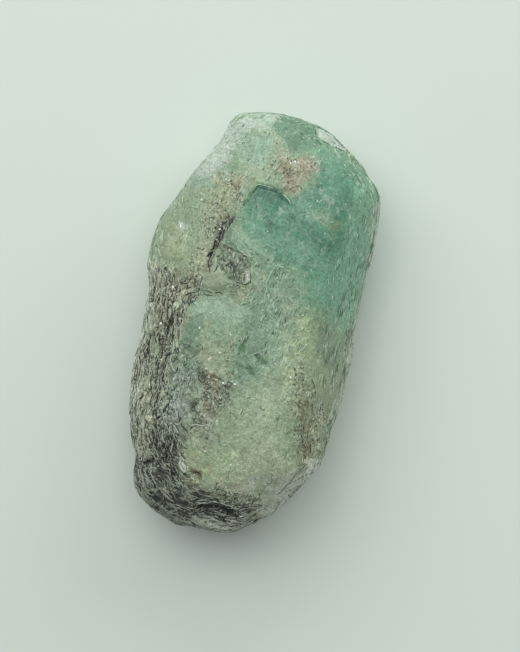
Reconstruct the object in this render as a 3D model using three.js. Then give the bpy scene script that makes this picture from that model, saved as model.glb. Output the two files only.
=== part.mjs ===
// Raw emerald crystal: one stubby prism of beryl, broken at both ends and worn round, with a crust of
// mica schist grown onto its left flank and its foot end. It formed as one piece, so it is one solid.
//
// Millimetres. +Y runs along the crystal's c axis towards its cleaner end, +Z is up, and the origin is the
// middle of the plan outline on the plane of the flat face that the stone rests on.

import * as THREE from "three";
import { ImprovedNoise } from "three/addons/math/ImprovedNoise.js";
import { mergeVertices } from "three/addons/utils/BufferGeometryUtils.js";

// Driving dimensions: the finished stone's box is exactly these three.
const LENGTH = 42;
const WIDTH = 22;
const HEIGHT = 15;
const GIRTH_Z = 6.8; // height of the widest outline, where the upper and lower faces meet

const EDGE_WEAR = 0.3; // how far wear has rounded the edges between faces
const SOLE_RISE = 1.2; // height over which lumps fade out towards the flat sole
const ROUNDS = 40; // passes that even out the triangles
const SPLITS = 18; // cuts along each edge of the icosahedron that the skin starts from
const BEARINGS = 720; // directions at which the outline's distance from the middle is worked out

// The widest outline, seen from above, counterclockwise from the right-hand end of the foot. Each point is a
// corner, a bulge or a notch of the stone.
const OUTLINE = [
  [10.3, -11.5], [10.7, -9.2], [11.0, -6.6], [10.9, -3.0], [10.7, 1.5], [10.95, 5.5], [10.7, 10.0],
  [10.3, 13.2], [9.8, 15.0], [8.6, 16.8], [7.2, 18.15], [5.3, 19.35], [3.4, 20.1], [1.2, 20.8],
  [-1.2, 21.0], [-3.4, 20.7], [-5.3, 20.25], [-6.1, 18.9], [-6.3, 17.1], [-7.1, 14.8], [-8.3, 12.5],
  [-9.3, 10.4], [-10.6, 8.0], [-11.0, 5.6], [-10.8, 3.6], [-10.05, 1.2], [-9.8, -1.2], [-9.75, -4.3],
  [-10.3, -6.0], [-9.6, -9.4], [-8.9, -12.0], [-8.2, -14.2], [-7.6, -15.8], [-7.5, -17.0], [-6.0, -18.7],
  [-4.4, -19.8], [-1.4, -21.0], [1.2, -20.9], [3.4, -20.4], [5.2, -19.3], [7.3, -17.1], [8.1, -15.7],
  [9.0, -14.0],
];

// Worn faces of the stone. azimuth is the way a face looks, in degrees from +X towards +Y, and rise is its
// normal's angle above the horizontal. Each face leaves the stone's upright girth lift millimetres above it,
// or below it where the face looks down.
const FACES = [
  { name: "table", azimuth: 20, rise: 88, lift: 7.6 },
  { name: "table left slope", azimuth: 184, rise: 79, lift: 6.0 },
  { name: "table head slope", azimuth: 95, rise: 79, lift: 5.5 },
  { name: "table foot slope", azimuth: 262, rise: 80, lift: 5.8 },
  { name: "right prism face", azimuth: 1, rise: 30, lift: 0.4 },
  { name: "right shoulder", azimuth: 3, rise: 60, lift: 4.6 },
  { name: "left flank", azimuth: 177, rise: 22, lift: 0.4 },
  { name: "left slope", azimuth: 174, rise: 51, lift: 2.2 },
  { name: "crust flank", azimuth: 190, rise: 24, lift: 0.3 },
  { name: "crust slope", azimuth: 193, rise: 50, lift: 2.2 },
  { name: "crust shoulder", azimuth: 204, rise: 69, lift: 4.6 },
  { name: "head left flank", azimuth: 154, rise: 24, lift: 0.4 },
  { name: "head left slope", azimuth: 151, rise: 50, lift: 2.6 },
  { name: "head corner flank", azimuth: 122, rise: 26, lift: 0.4 },
  { name: "head corner slope", azimuth: 124, rise: 53, lift: 3.0 },
  { name: "head break", azimuth: 88, rise: 24, lift: 0.4 },
  { name: "head slope", azimuth: 84, rise: 54, lift: 3.5 },
  { name: "head right flank", azimuth: 52, rise: 25, lift: 0.5 },
  { name: "head right slope", azimuth: 48, rise: 55, lift: 3.8 },
  { name: "foot break", azimuth: 268, rise: 27, lift: 0.3 },
  { name: "foot slope", azimuth: 266, rise: 52, lift: 2.8 },
  { name: "foot knob flank", azimuth: 228, rise: 26, lift: 0.3 },
  { name: "foot knob slope", azimuth: 230, rise: 52, lift: 2.4 },
  { name: "foot ledge", azimuth: 321, rise: 18, lift: 0.4 },
  { name: "foot right slope", azimuth: 300, rise: 50, lift: 3.2 },
  { name: "right underface", azimuth: 359, rise: -31, lift: 0.4 },
  { name: "right keel", azimuth: 358, rise: -62, lift: 4.6 },
  { name: "left underface", azimuth: 172, rise: -33, lift: 0.8 },
  { name: "left keel", azimuth: 176, rise: -60, lift: 4.1 },
  { name: "crust underface", azimuth: 196, rise: -35, lift: 0.6 },
  { name: "head underface", azimuth: 92, rise: -36, lift: 0.6 },
  { name: "head left underface", azimuth: 142, rise: -35, lift: 0.6 },
  { name: "head right underface", azimuth: 50, rise: -34, lift: 0.6 },
  { name: "foot underface", azimuth: 268, rise: -38, lift: 0.5 },
  { name: "foot left underface", azimuth: 226, rise: -34, lift: 0.5 },
  { name: "foot right underface", azimuth: 320, rise: -33, lift: 0.5 },
];

// Seams and hollows of the upper side, as lines in plan, with the deepest one counting where they meet.
const FURROWS = [
  { name: "mica seam", depth: 0.6, width: 1.05, path: [[-4.1, 10.0], [-4.6, 8.0], [-4.9, 5.4]] },
  { name: "grain hollow", depth: 0.45, width: 1.7, path: [[-3.4, 5.6], [-2.0, 4.9]] },
  { name: "crust seam", depth: 0.55, width: 1.1, path: [[-10.6, 1.2], [-7.2, 1.6], [-5.0, 2.0], [-3.2, 2.1]] },
  { name: "flank furrow", depth: 0.5, width: 1.0, path: [[-7.6, -1.6], [-7.5, -4.0], [-7.2, -8.0]] },
  { name: "knob seam", depth: 0.75, width: 1.1, path: [[-8.2, -16.0], [-6.6, -15.5], [-5.4, -14.8]] },
  { name: "foot hollow", depth: 0.7, width: 1.2, path: [[-4.7, -12.6], [-4.4, -14.6], [-3.9, -16.6]] },
  { name: "foot furrow", depth: 0.6, width: 1.0, path: [[-1.4, -18.9], [1.4, -18.2], [4.6, -18.6]] },
];

// Swellings of the upper side, written the same way, with the highest one counting.
const RISES = [
  { name: "foot knob", depth: 0.7, width: 2.0, path: [[-6.0, -17.2], [-4.8, -18.0]] },
  { name: "foot rim", depth: 0.4, width: 1.2, path: [[-2.0, -20.2], [2.0, -19.8]] },
  { name: "pale rise", depth: 0.35, width: 2.4, path: [[-1.5, -0.6], [-4.0, -0.6]] },
  { name: "grain rise", depth: 0.4, width: 1.1, path: [[-4.4, 3.4], [-3.4, 3.4]] },
  { name: "olive rise", depth: 0.4, width: 2.2, path: [[-9.0, 6.6], [-8.6, 4.8]] },
  { name: "green rise", depth: 0.35, width: 2.2, path: [[-7.4, 12.6], [-6.4, 14.6]] },
];

// Lumps all over the stone: how wide they are and how tall.
const LUMPS = [
  { size: 7.0, height: 0.55 },
  { size: 2.9, height: 0.28 },
];
const LUMP_PLACE = new THREE.Vector3(11.3, 4.7, 8.1); // where in the noise the lumps are taken from

const UP = new THREE.Vector3(0, 0, 1);
const MIDDLE = new THREE.Vector3(0, 0, GIRTH_Z);

/** The distance from the middle to a smooth closed curve through the outline's points, by direction. */
function outlineReach(points) {
  const corners = points.map(([x, y]) => new THREE.Vector3(x, y, 0));
  const walk = new THREE.CatmullRomCurve3(corners, true, "centripetal").getPoints(12 * points.length);
  const reaches = Array.from({ length: BEARINGS }, (_, i) => {
    const ray = new THREE.Vector3(1, 0, 0).applyAxisAngle(UP, (i / BEARINGS) * 2 * Math.PI);
    const side = (p) => ray.x * p.y - ray.y * p.x;
    const after = walk.findIndex((p, k) => k > 0 && ray.dot(p) > 0 && side(walk[k - 1]) <= 0 && side(p) > 0);
    const [p, q] = [walk[after - 1], walk[after]];
    return p.clone().lerp(q, side(p) / (side(p) - side(q))).length();
  });
  return (azimuth) => {
    const place = THREE.MathUtils.euclideanModulo((azimuth / (2 * Math.PI)) * BEARINGS, BEARINGS);
    const i = Math.floor(place) % BEARINGS;
    return THREE.MathUtils.lerp(reaches[i], reaches[(i + 1) % BEARINGS], place - Math.floor(place));
  };
}

const planReach = outlineReach(OUTLINE);

/** Turns the named faces into planes: an outward normal and a distance from the middle of the girth. */
function facePlanes(faces) {
  return faces.map(({ azimuth, rise, lift }) => {
    const a = THREE.MathUtils.degToRad(azimuth);
    const e = THREE.MathUtils.degToRad(rise);
    const support = Math.max(...OUTLINE.map(([x, y]) => x * Math.cos(a) + y * Math.sin(a)));
    const normal = new THREE.Vector3(Math.cos(a) * Math.cos(e), Math.sin(a) * Math.cos(e), Math.sin(e));
    return { normal, reach: support * Math.cos(e) + lift * Math.sin(Math.abs(e)) };
  });
}

const planes = facePlanes(FACES);

/** How far the worn stone reaches from its middle along a unit direction, before seams and lumps. */
function stoneReach(direction) {
  const level = Math.max(Math.hypot(direction.x, direction.y), 1e-6);
  const wall = planReach(Math.atan2(direction.y, direction.x)) / level;
  let worn = Math.exp(-wall / EDGE_WEAR);
  for (const { normal, reach } of planes) {
    const facing = normal.dot(direction);
    if (facing > 0.02) worn += Math.exp(-reach / facing / EDGE_WEAR);
  }
  return -EDGE_WEAR * Math.log(worn);
}

/** The distance that leaves a point on the resting plane, or infinity for a direction that looks up. */
function restReach(direction) {
  return direction.z < 0 ? GIRTH_Z / -direction.z : Infinity;
}

/** Moves a point out or in along its own direction from the middle, so that it lies on the worn stone. */
function toStone(point) {
  point.sub(MIDDLE).normalize();
  const reach = Math.min(stoneReach(point), restReach(point));
  return point.multiplyScalar(reach).add(MIDDLE);
}

/** Evens out a skin: each vertex moves to the area-weighted middle of its triangles and back onto the stone. */
function evenOut(points, index, rounds) {
  const a = new THREE.Vector3();
  const b = new THREE.Vector3();
  for (let round = 0; round < rounds; round++) {
    const sums = points.map(() => ({ at: new THREE.Vector3(), area: 0 }));
    for (let t = 0; t < index.length; t += 3) {
      const [p, q, r] = [points[index[t]], points[index[t + 1]], points[index[t + 2]]];
      const area = a.subVectors(q, p).cross(b.subVectors(r, p)).length();
      const middle = new THREE.Vector3().add(p).add(q).add(r).divideScalar(3);
      for (const corner of [index[t], index[t + 1], index[t + 2]]) {
        sums[corner].at.addScaledVector(middle, area);
        sums[corner].area += area;
      }
    }
    points.forEach((point, i) => toStone(point.copy(sums[i].at.divideScalar(sums[i].area))));
  }
}

/** Distance in plan from a point to a path of straight stretches. */
function distanceToPath(x, y, path) {
  let nearest = Infinity;
  for (let i = 1; i < path.length; i++) {
    const [ax, ay] = path[i - 1];
    const [dx, dy] = [path[i][0] - ax, path[i][1] - ay];
    const along = THREE.MathUtils.clamp(((x - ax) * dx + (y - ay) * dy) / (dx * dx + dy * dy), 0, 1);
    nearest = Math.min(nearest, Math.hypot(x - ax - along * dx, y - ay - along * dy));
  }
  return nearest;
}

const noise = new ImprovedNoise();

/** The greatest effect at a point of a list of furrows or rises: its depth, fading with distance in plan. */
function greatest(lines, point) {
  const effects = lines.map(({ depth, width, path }) => {
    const away = distanceToPath(point.x, point.y, path) / width;
    return depth * Math.exp(-away * away);
  });
  return Math.max(...effects);
}

/** How far the finished surface stands proud of the worn faces: lumps all over, seams and rises on top. */
function relief(point) {
  let height = 0;
  for (const { size, height: tall } of LUMPS) {
    const at = point.clone().divideScalar(size).add(LUMP_PLACE);
    height += tall * noise.noise(at.x, at.y, at.z);
  }
  const upper = THREE.MathUtils.smoothstep(point.z, GIRTH_Z - 2, GIRTH_Z + 2);
  height += upper * (greatest(RISES, point) - greatest(FURROWS, point));
  return height * THREE.MathUtils.smoothstep(point.z, 0, SOLE_RISE);
}

/** Fits the points to the driving dimensions' box, standing on z = 0 with its middle over the origin. */
function fitToBox(points) {
  const box = new THREE.Box3().setFromPoints(points);
  const scale = new THREE.Vector3(WIDTH, LENGTH, HEIGHT).divide(box.getSize(new THREE.Vector3()));
  const seat = box.getCenter(new THREE.Vector3()).setZ(box.min.z);
  for (const point of points) {
    point.sub(seat).multiply(scale);
    if (point.z < 1e-4) point.z = 0;
  }
}

/** The stone's skin: an even triangle mesh on the worn faces, then its relief, then the exact box. */
function stoneGeometry() {
  const ball = new THREE.IcosahedronGeometry(1, SPLITS);
  ball.deleteAttribute("normal");
  ball.deleteAttribute("uv");
  const skin = mergeVertices(ball, 1e-5);
  const position = skin.getAttribute("position");
  const halfBox = new THREE.Vector3(WIDTH, LENGTH, HEIGHT).divideScalar(2);
  const points = Array.from({ length: position.count }, (_, i) =>
    toStone(new THREE.Vector3().fromBufferAttribute(position, i).multiply(halfBox).add(MIDDLE)),
  );
  evenOut(points, skin.index.array, ROUNDS);
  for (const point of points) {
    const out = point.clone().sub(MIDDLE).normalize();
    const reach = point.distanceTo(MIDDLE) + relief(point);
    point.copy(MIDDLE).addScaledVector(out, Math.min(reach, restReach(out)));
  }
  fitToBox(points);
  skin.setFromPoints(points);
  skin.computeVertexNormals();
  return skin;
}

const beryl = new THREE.MeshStandardMaterial({ color: 0x93ac94, roughness: 0.5, metalness: 0 });
const stone = new THREE.Mesh(stoneGeometry(), beryl);
stone.name = "emerald_crystal";

const crystal = new THREE.Group();
crystal.add(stone);

export default crystal;
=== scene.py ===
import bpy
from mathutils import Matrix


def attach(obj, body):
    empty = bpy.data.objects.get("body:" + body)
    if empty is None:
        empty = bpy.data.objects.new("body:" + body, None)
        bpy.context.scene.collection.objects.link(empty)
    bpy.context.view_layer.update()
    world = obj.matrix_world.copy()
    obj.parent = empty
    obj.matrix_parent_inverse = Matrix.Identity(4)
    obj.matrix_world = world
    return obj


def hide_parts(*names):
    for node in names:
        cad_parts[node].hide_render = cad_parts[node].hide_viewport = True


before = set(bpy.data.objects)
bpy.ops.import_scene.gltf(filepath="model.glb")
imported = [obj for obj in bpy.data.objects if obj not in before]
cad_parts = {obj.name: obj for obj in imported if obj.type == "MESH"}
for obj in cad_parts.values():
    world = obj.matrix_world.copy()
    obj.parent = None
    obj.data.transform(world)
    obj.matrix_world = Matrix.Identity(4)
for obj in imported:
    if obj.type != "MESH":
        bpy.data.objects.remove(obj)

"""Looks of a raw emerald crystal: a worn prism of milky green beryl, with mica schist grown on its left flank
and its foot. The stone is sculpted and painted zone by zone on a copy of its CAD solid. Plan positions are in
millimetres, with +Y towards the crystal's clean head and +X away from the schist."""

import logging
import math
import random
from dataclasses import dataclass, field
from enum import Enum

import bmesh
import bpy
import numpy as np
from mathutils import Matrix, Quaternion, Vector, noise
from mathutils.bvhtree import BVHTree

MM = 0.001
Point = tuple[float, float]
Sizes = tuple[float, float, float]
Output = bpy.types.NodeSocket
Value = float | Output
log = logging.getLogger("raw_emerald")


class Pigment(Enum):
    """The stone's own colours, as sRGB hex values."""

    TEAL = "4F8669"
    DEEP_TEAL = "3A7158"
    SEA = "72A086"
    LEAF = "6D9676"
    MOSS = "5E8067"
    MINT = "8CAA92"
    SAGE = "8EA384"
    PALE_SAGE = "A6BB93"
    CREAM = "B6C4A2"
    FROST = "B3C0B4"
    OLIVE = "8F9F7C"
    BEIGE = "9CA383"
    ROSE = "91876F"
    IRON = "5F5636"
    BROWN = "73694B"
    GREY_GREEN = "859B7E"
    FOREST = "4C7350"
    GREY_SCHIST = "9EA68D"
    BROWN_SCHIST = "A3A68B"
    LEAF_GREY = "6F8E74"
    ASH = "72826A"
    DUN = "7C7F69"
    JADE = "86A286"
    SPRING = "A9BC9B"
    FOG = "CBD1C2"
    DARK_SCHIST = "4B5247"
    BLACK_MICA = "1B211B"
    SMOKE = "879787"
    CELADON = "7AAA8C"
    QUARTZ = "93A388"
    PEARL = "DDE3D6"
    # near white, in part a painted highlight on the bright cleavages
    WHITE_MICA = "F3F5EE"


def linear(hex_colour: str) -> tuple[float, float, float]:
    """Turns an sRGB hex colour into linear light.

    Args:
        hex_colour: six hex digits.

    Returns:
        Red, green and blue, from 0 to 1.
    """
    parts = [int(hex_colour[i : i + 2], 16) / 255 for i in (0, 2, 4)]
    return tuple(c / 12.92 if c <= 0.04045 else ((c + 0.055) / 1.055) ** 2.4 for c in parts)


@dataclass(frozen=True)
class Texture:
    """How strongly each fine pattern shows, from 0 to 1, and how tall the skin's own lumps are, in mm."""

    facets: float = 0.0
    striae: float = 0.0
    fibres: float = 0.0
    grain: float = 0.0
    foliation: float = 0.0
    mica: float = 0.0
    lumps: float = 0.05


class Skin(Enum):
    """The kinds of surface that the stone shows."""

    GLASSY = Texture(facets=0.42, grain=0.03, lumps=0.006)
    MILKY = Texture(facets=0.34, grain=0.06, fibres=0.12, lumps=0.008)
    STRIATED = Texture(striae=1.0, grain=0.06, lumps=0.004)
    FIBROUS = Texture(facets=0.5, fibres=0.8, grain=0.08, lumps=0.012)
    FROSTED = Texture(facets=0.45, grain=0.05, fibres=0.2, mica=0.1, lumps=0.02)
    GRANULAR = Texture(facets=0.6, grain=0.85, fibres=0.2, mica=0.25, lumps=0.03)
    GRAINY = Texture(facets=0.6, grain=0.45, fibres=0.3, lumps=0.02)
    CLOTTED = Texture(facets=0.6, grain=0.55, foliation=0.4, mica=0.25, lumps=0.03)
    SHEET = Texture(grain=0.4, foliation=0.35, lumps=0.02)
    SCHIST = Texture(facets=0.2, grain=0.5, foliation=1.0, mica=0.7, lumps=0.03)
    CRUST = Texture(facets=0.4, grain=1.0, foliation=0.6, mica=1.0, lumps=0.05)


@dataclass(frozen=True)
class Patch:
    """A zone, stain, seam or grain, laid in plan: along a line, round one point, or over a closed area.

    path is the line, and is closed where it ends at its first point. half is its half width, or how far it
    reaches past a closed area's edge. soft is how wide its edge fades and ragged how far the edge wanders.
    height raises the patch, or sinks it where negative. All are in mm.
    """

    pigment: Pigment
    path: tuple[Point, ...]
    half: float
    soft: float = 0.4
    ragged: float = 0.4
    strength: float = 1.0
    skin: Skin | None = None
    height: float = 0.0


@dataclass(frozen=True)
class Ledge:
    """A fracture step: the ground to the right of the line, as it is walked, lies drop mm lower.

    soft is the width of the step's face, and the ground comes back up over reach mm.
    """

    path: tuple[Point, ...]
    drop: float
    reach: float
    soft: float = 0.3


class Trace(Enum):
    """What a hairline is: its colour as sRGB hex, how far that hides the ground's own, and its rise in mm."""

    CRACK = ("141A13", 0.95, 0.050)
    # painted shade, drawn as a line under the window's lip
    DEEP = ("2F5F4A", 0.80, 0.050)
    SHADE = ("2F4A3A", 0.60, 0.050)
    CRUMB = ("2C2C1B", 0.75, 0.050)
    EDGE = ("D2E8D6", 0.58, 0.055)
    LEAF_EDGE = ("C4D0BB", 0.66, 0.055)


@dataclass(frozen=True)
class Line:
    """One hairline, by its width in mm and its points in plan."""

    trace: Trace
    width: float
    path: tuple[Point, ...]


@dataclass(frozen=True)
class Strewn:
    """Many short hairlines, strewn as thick as a texture of the skin is strong.

    lengths is the shortest and longest, in mm, cut in steps. stray is how far each sets off from the skin's
    own grain and bend how far it turns at every step, both in radians.
    """

    trace: Trace
    skin: str
    count: int
    lengths: tuple[float, float]
    width: float
    stray: float
    bend: float
    steps: int = 3


P = Pigment
S = Skin
T = Trace

# Broad zones, laid in this order over the body of the stone.
ZONES = (
    # the pale body from the middle to the foot
    Patch(P.SAGE, ((-2.6, -11.6), (-1.0, -10.4), (-0.5, -7.5), (0.8, -5.2), (3.5, -4.4), (5.8, -5.0),
        (6.8, -8.0), (7.6, -12.6), (5.2, -16.4), (2.0, -16.4), (-1.0, -16.2), (-3.2, -14.8), (-2.6, -11.6)),
        0.2, 1.6, 0.7, 0.9, S.MILKY),
    Patch(P.SPRING, ((4.2, -10.8), (2.8, -10.2), (3.2, -8.4), (3.6, -6.6)), 1.1, 2.4, 0.9, 0.7),
    Patch(P.CREAM, ((2.0, -13.4), (4.6, -12.8), (6.6, -12.6), (6.4, -14.6), (5.6, -15.8), (3.4, -15.4)),
        0.9, 2.2, 0.8, 0.8),
    Patch(P.PALE_SAGE, ((-1.6, -13.4), (0.6, -14.4)), 1.2, 2.2, 0.8, 0.75),
    Patch(P.DUN, ((-3.4, -12.0), (-1.4, -11.6)), 0.6, 1.8, 0.9, 0.6, S.GRAINY),
    Patch(P.BEIGE, ((-2.4, -14.0), (-1.4, -15.4)), 0.8, 1.6, 0.6, 0.7),
    # painted light: paler on the lower right of the body and foot, lifting the shade of slopes that face away
    # from the lamps
    Patch(P.PEARL, ((4.4, -15.4), (6.2, -15.0), (7.0, -14.2)), 0.8, 1.8, 0.7, 0.65),
    Patch(P.PEARL, ((1.6, -16.2), (4.2, -16.3), (6.0, -15.8)), 0.5, 1.4, 0.6, 0.6),
    Patch(P.BEIGE, ((0.6, -15.6), (3.0, -16.0), (5.2, -15.8)), 0.7, 1.4, 0.8, 0.6),
    # the greener middle
    Patch(P.LEAF, ((-1.0, 2.6), (0.8, 6.2), (3.8, 5.6), (4.6, 1.6), (3.8, -2.8), (2.4, -5.2), (0.2, -5.8),
        (-1.2, -2.4), (-1.0, 2.6)), -0.2, 2.0, 0.9, 0.75, S.FIBROUS),
    Patch(P.SAGE, ((3.6, 3.0), (3.4, 0.8), (4.4, -1.6)), 0.8, 1.6, 0.9, 0.6, S.FIBROUS),
    Patch(P.PALE_SAGE, ((5.5, 0.9), (5.4, -2.0), (5.6, -4.6)), 0.9, 1.8, 0.6, 0.75, S.FIBROUS),
    Patch(P.PALE_SAGE, ((6.6, 1.0), (6.9, -2.0)), 0.6, 1.6, 0.6, 0.35, S.MILKY),
    Patch(P.BEIGE, ((6.0, -3.6), (6.8, -6.8)), 0.8, 1.6, 0.6, 0.6, S.GRANULAR),
    Patch(P.LEAF_GREY, ((0.2, -0.2), (1.8, -1.6), (0.6, -2.6), (0.4, -4.0), (2.0, -3.6), (0.8, -5.4)), 0.8,
        1.6, 0.7, 0.9, S.MILKY),
    # the teal head and window
    Patch(P.TEAL, ((5.2, 6.6), (5.5, 4.4)), 0.6, 2.0, 0.6, 0.8, S.GLASSY),
    Patch(P.TEAL, ((3.4, 17.8), (6.2, 17.6), (7.6, 16.0), (7.4, 11.0), (7.0, 8.0), (6.0, 6.4), (4.4, 6.1),
        (2.4, 6.2), (1.2, 6.8), (-0.9, 7.7), (-2.6, 8.4), (-3.0, 10.0), (-2.3, 12.2), (-1.7, 13.0),
        (-0.3, 13.0), (1.0, 12.2), (2.4, 13.4), (3.2, 14.9), (3.4, 17.8)), -0.1, 1.0, 0.5, 0.95, S.GLASSY),
    Patch(P.SEA, ((3.8, 17.6), (4.6, 16.4)), 0.7, 1.6, 0.5, 0.7, S.GLASSY),
    Patch(P.DEEP_TEAL, ((2.0, 9.8), (4.4, 8.2)), 1.0, 2.0, 0.6, 0.45),
    Patch(P.SEA, ((6.2, 7.4), (6.0, 4.4)), 0.6, 1.4, 0.4, 0.7),
    Patch(P.SEA, ((2.0, 13.0), (3.0, 12.4), (3.4, 11.2)), 0.7, 1.2, 0.6, 0.8, S.MILKY),
    Patch(P.SEA, ((-2.2, 9.6), (-0.6, 8.8), (1.0, 7.6)), 0.5, 1.4, 0.5, 0.5),
    Patch(P.LEAF_GREY, ((2.7, 4.7), (4.1, 4.6), (4.2, 3.5), (2.8, 3.4), (2.7, 4.7)), 0.0, 0.4, 0.2, 0.8,
        S.MILKY),
    # the right prism face
    Patch(P.CELADON, ((7.3, 17.2), (8.9, 16.4), (10.2, 14.0), (11.6, 11.0), (11.6, 1.0), (7.6, 1.0),
        (7.4, 8.0), (7.3, 17.2)), 0.0, 0.9, 0.3, 0.9, S.STRIATED),
    Patch(P.MOSS, ((6.6, 16.8), (7.8, 16.4), (8.8, 15.2)), 0.5, 1.4, 0.3, 0.7),
    Patch(P.GREY_GREEN, ((7.4, 1.4), (11.6, 1.4), (11.6, -10.4), (9.6, -12.4), (8.0, -10.6), (7.2, -4.0),
        (7.4, 1.4)), 0.0, 2.4, 0.6, 0.9, S.STRIATED),
    Patch(P.BEIGE, ((8.0, -2.4), (9.0, -5.0), (9.4, -7.4)), 0.8, 1.8, 0.6, 0.4),
    Patch(P.JADE, ((8.0, 2.6), (8.4, -1.6)), 0.6, 1.8, 0.4, 0.5),
    Patch(P.PALE_SAGE, ((7.4, -3.0), (8.0, -5.2)), 0.6, 1.4, 0.5, 0.5),
    Patch(P.FOG, ((10.1, 14.0), (10.5, 10.0), (10.6, 2.0), (10.5, -8.0)), 0.3, 1.2, 0.3, 0.6),
    # the head
    Patch(P.SAGE, ((-3.4, 19.2), (-1.6, 19.4), (0.4, 16.8), (-0.2, 13.2), (-2.2, 13.0), (-3.8, 13.8),
        (-4.4, 16.0), (-3.4, 19.2)), 0.0, 0.8, 0.4, 0.9, S.MILKY),
    Patch(P.FROST, ((-6.7, 15.8), (-5.9, 18.6), (-4.3, 20.8), (-1.0, 21.2), (-1.9, 19.4), (-3.5, 18.9),
        (-4.6, 17.6), (-4.9, 15.6), (-5.6, 14.0), (-6.4, 12.4), (-8.6, 11.8), (-7.6, 14.4), (-6.7, 15.8)),
        -0.1, 1.4, 0.6, 0.75, S.FROSTED),
    Patch(P.JADE, ((-4.0, 20.0), (-3.0, 20.1)), 0.3, 0.6, 0.3, 0.8),
    Patch(P.FROST, ((-4.2, 18.6), (-2.4, 18.9)), 0.3, 0.8, 0.3, 0.6),
    Patch(P.MINT, ((-4.6, 17.4), (-4.0, 17.9), (-2.2, 17.9), (-1.5, 17.9), (-1.5, 16.0), (-2.0, 15.0),
        (-4.2, 15.0), (-4.6, 17.4)), 0.0, 0.25, 0.15, 0.85, S.MILKY, -0.05),
    Patch(P.MOSS, ((-1.9, 19.0), (-1.3, 20.3), (-0.8, 21.4), (0.6, 21.6), (2.0, 20.9), (2.4, 20.2),
        (2.6, 19.3), (3.2, 18.5), (2.6, 17.9), (1.8, 17.4), (0.9, 16.9), (0.4, 16.6), (0.1, 17.4),
        (-0.5, 18.0), (-1.9, 19.0)), 0.0, 0.25, 0.15, 0.85, S.GLASSY, -0.06),
    Patch(P.MOSS, ((-0.8, 20.0), (0.6, 20.2), (1.8, 19.9)), 0.5, 0.9, 0.3, 0.75),
    Patch(P.FOREST, ((0.0, 20.4), (1.2, 19.8), (1.0, 18.4)), 0.5, 1.2, 0.3, 0.5),
    Patch(P.FOREST, ((2.3, 19.0), (2.9, 18.6)), 0.2, 0.4, 0.2, 0.6),
    Patch(P.FROST, ((2.4, 20.2), (3.3, 20.1), (4.4, 19.8), (5.2, 19.2), (5.9, 18.7), (5.0, 18.6),
        (3.6, 18.8), (2.8, 19.2), (2.4, 20.2)), 0.0, 0.15, 0.1, 0.85, S.FROSTED, 0.04),
    # the left lump
    Patch(P.SAGE, ((-9.0, 11.6), (-6.4, 11.4), (-6.4, 8.0), (-6.6, 5.4), (-6.9, 3.9), (-9.6, 3.2),
        (-11.4, 4.4), (-11.2, 8.0), (-9.0, 11.6)), 0.0, 0.5, 0.4, 0.85, S.MILKY),
    Patch(P.OLIVE, ((-9.9, 7.3), (-9.0, 7.5), (-7.7, 7.2), (-7.4, 6.0), (-7.5, 4.6), (-9.3, 4.3),
        (-10.0, 5.2), (-9.9, 7.3)), 0.1, 0.4, 0.2, 0.85, S.MILKY, 0.08),
    Patch(P.MINT, ((-8.4, 12.6), (-6.8, 13.2), (-6.4, 12.2), (-8.2, 11.9), (-8.4, 12.6)), 0.1, 0.5, 0.3,
        0.7, S.MILKY),
    Patch(P.BEIGE, ((-6.2, 13.0), (-4.6, 14.0), (-3.0, 14.0), (-2.5, 12.8), (-3.2, 11.0), (-3.8, 9.0),
        (-4.8, 7.0), (-5.0, 4.6), (-6.4, 3.9), (-6.4, 7.0), (-6.2, 10.0), (-6.2, 13.0)), -0.1, 1.4, 0.7,
        0.8, S.GRAINY),
    # the pale ground under the crust seam
    Patch(P.JADE, ((-5.8, 0.7), (-4.4, 1.4), (-2.6, 1.9), (0.2, 1.3), (-0.4, -0.6), (-1.4, -2.8),
        (-3.2, -3.2), (-3.2, -0.6), (-5.4, -0.2), (-5.8, 0.7)), 0.0, 0.7, 0.4, 0.9, S.MILKY),
    Patch(P.SAGE, ((-2.4, -2.8), (-1.6, -5.0), (-3.4, -4.8)), 0.8, 1.2, 0.6, 0.7, S.MILKY),
    Patch(P.MOSS, ((-5.4, -3.6), (-5.0, -5.4), (-3.6, -5.8)), 0.6, 1.2, 0.6, 0.7, S.GRANULAR),
    # schist, from the crust seam down the flank and round the foot
    Patch(P.BROWN_SCHIST, ((-11.4, 1.4), (-9.6, 1.8), (-8.4, 2.6), (-7.2, 2.6), (-5.4, 3.6), (-5.2, 3.0),
        (-5.6, 1.4), (-8.0, 0.4), (-11.4, 0.0), (-11.4, 1.4)), -0.1, 1.2, 0.9, 1.0, S.CRUST),
    Patch(P.GREY_SCHIST, ((-11.6, 0.8), (-8.0, 0.6), (-6.2, 0.9), (-5.9, -1.2), (-5.9, -4.2), (-5.5, -5.6),
        (-5.9, -8.0), (-6.2, -10.8), (-4.6, -11.6), (-3.8, -14.0), (-3.3, -16.6), (-7.0, -16.6),
        (-9.4, -13.6), (-11.6, -4.6), (-11.6, 0.8)), -0.1, 1.7, 1.1, 1.0, S.SCHIST),
    Patch(P.BROWN_SCHIST, ((-8.6, 0.4), (-8.8, -1.6), (-7.6, -3.6)), 0.7, 1.4, 0.6, 0.7),
    Patch(P.PEARL, ((-10.2, 3.0), (-9.9, 0.2), (-9.8, -2.2), (-10.1, -4.6), (-9.9, -10.0), (-9.6, -12.4)),
        0.6, 1.6, 0.5, 0.8),
    Patch(P.SMOKE, ((-5.9, -5.6), (-3.4, -5.6), (-2.9, -7.2), (-2.9, -9.6), (-3.6, -10.8), (-5.2, -11.4),
        (-6.3, -10.2), (-5.9, -5.6)), 0.0, 1.8, 1.0, 0.9, S.CLOTTED),
    Patch(P.FROST, ((-4.6, -8.4), (-5.2, -9.8), (-3.8, -10.4)), 0.4, 1.0, 0.5, 0.35),
    Patch(P.ASH, ((-6.6, 2.3), (-5.5, 2.2)), 0.5, 0.9, 0.5, 0.7, S.CRUST),
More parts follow.
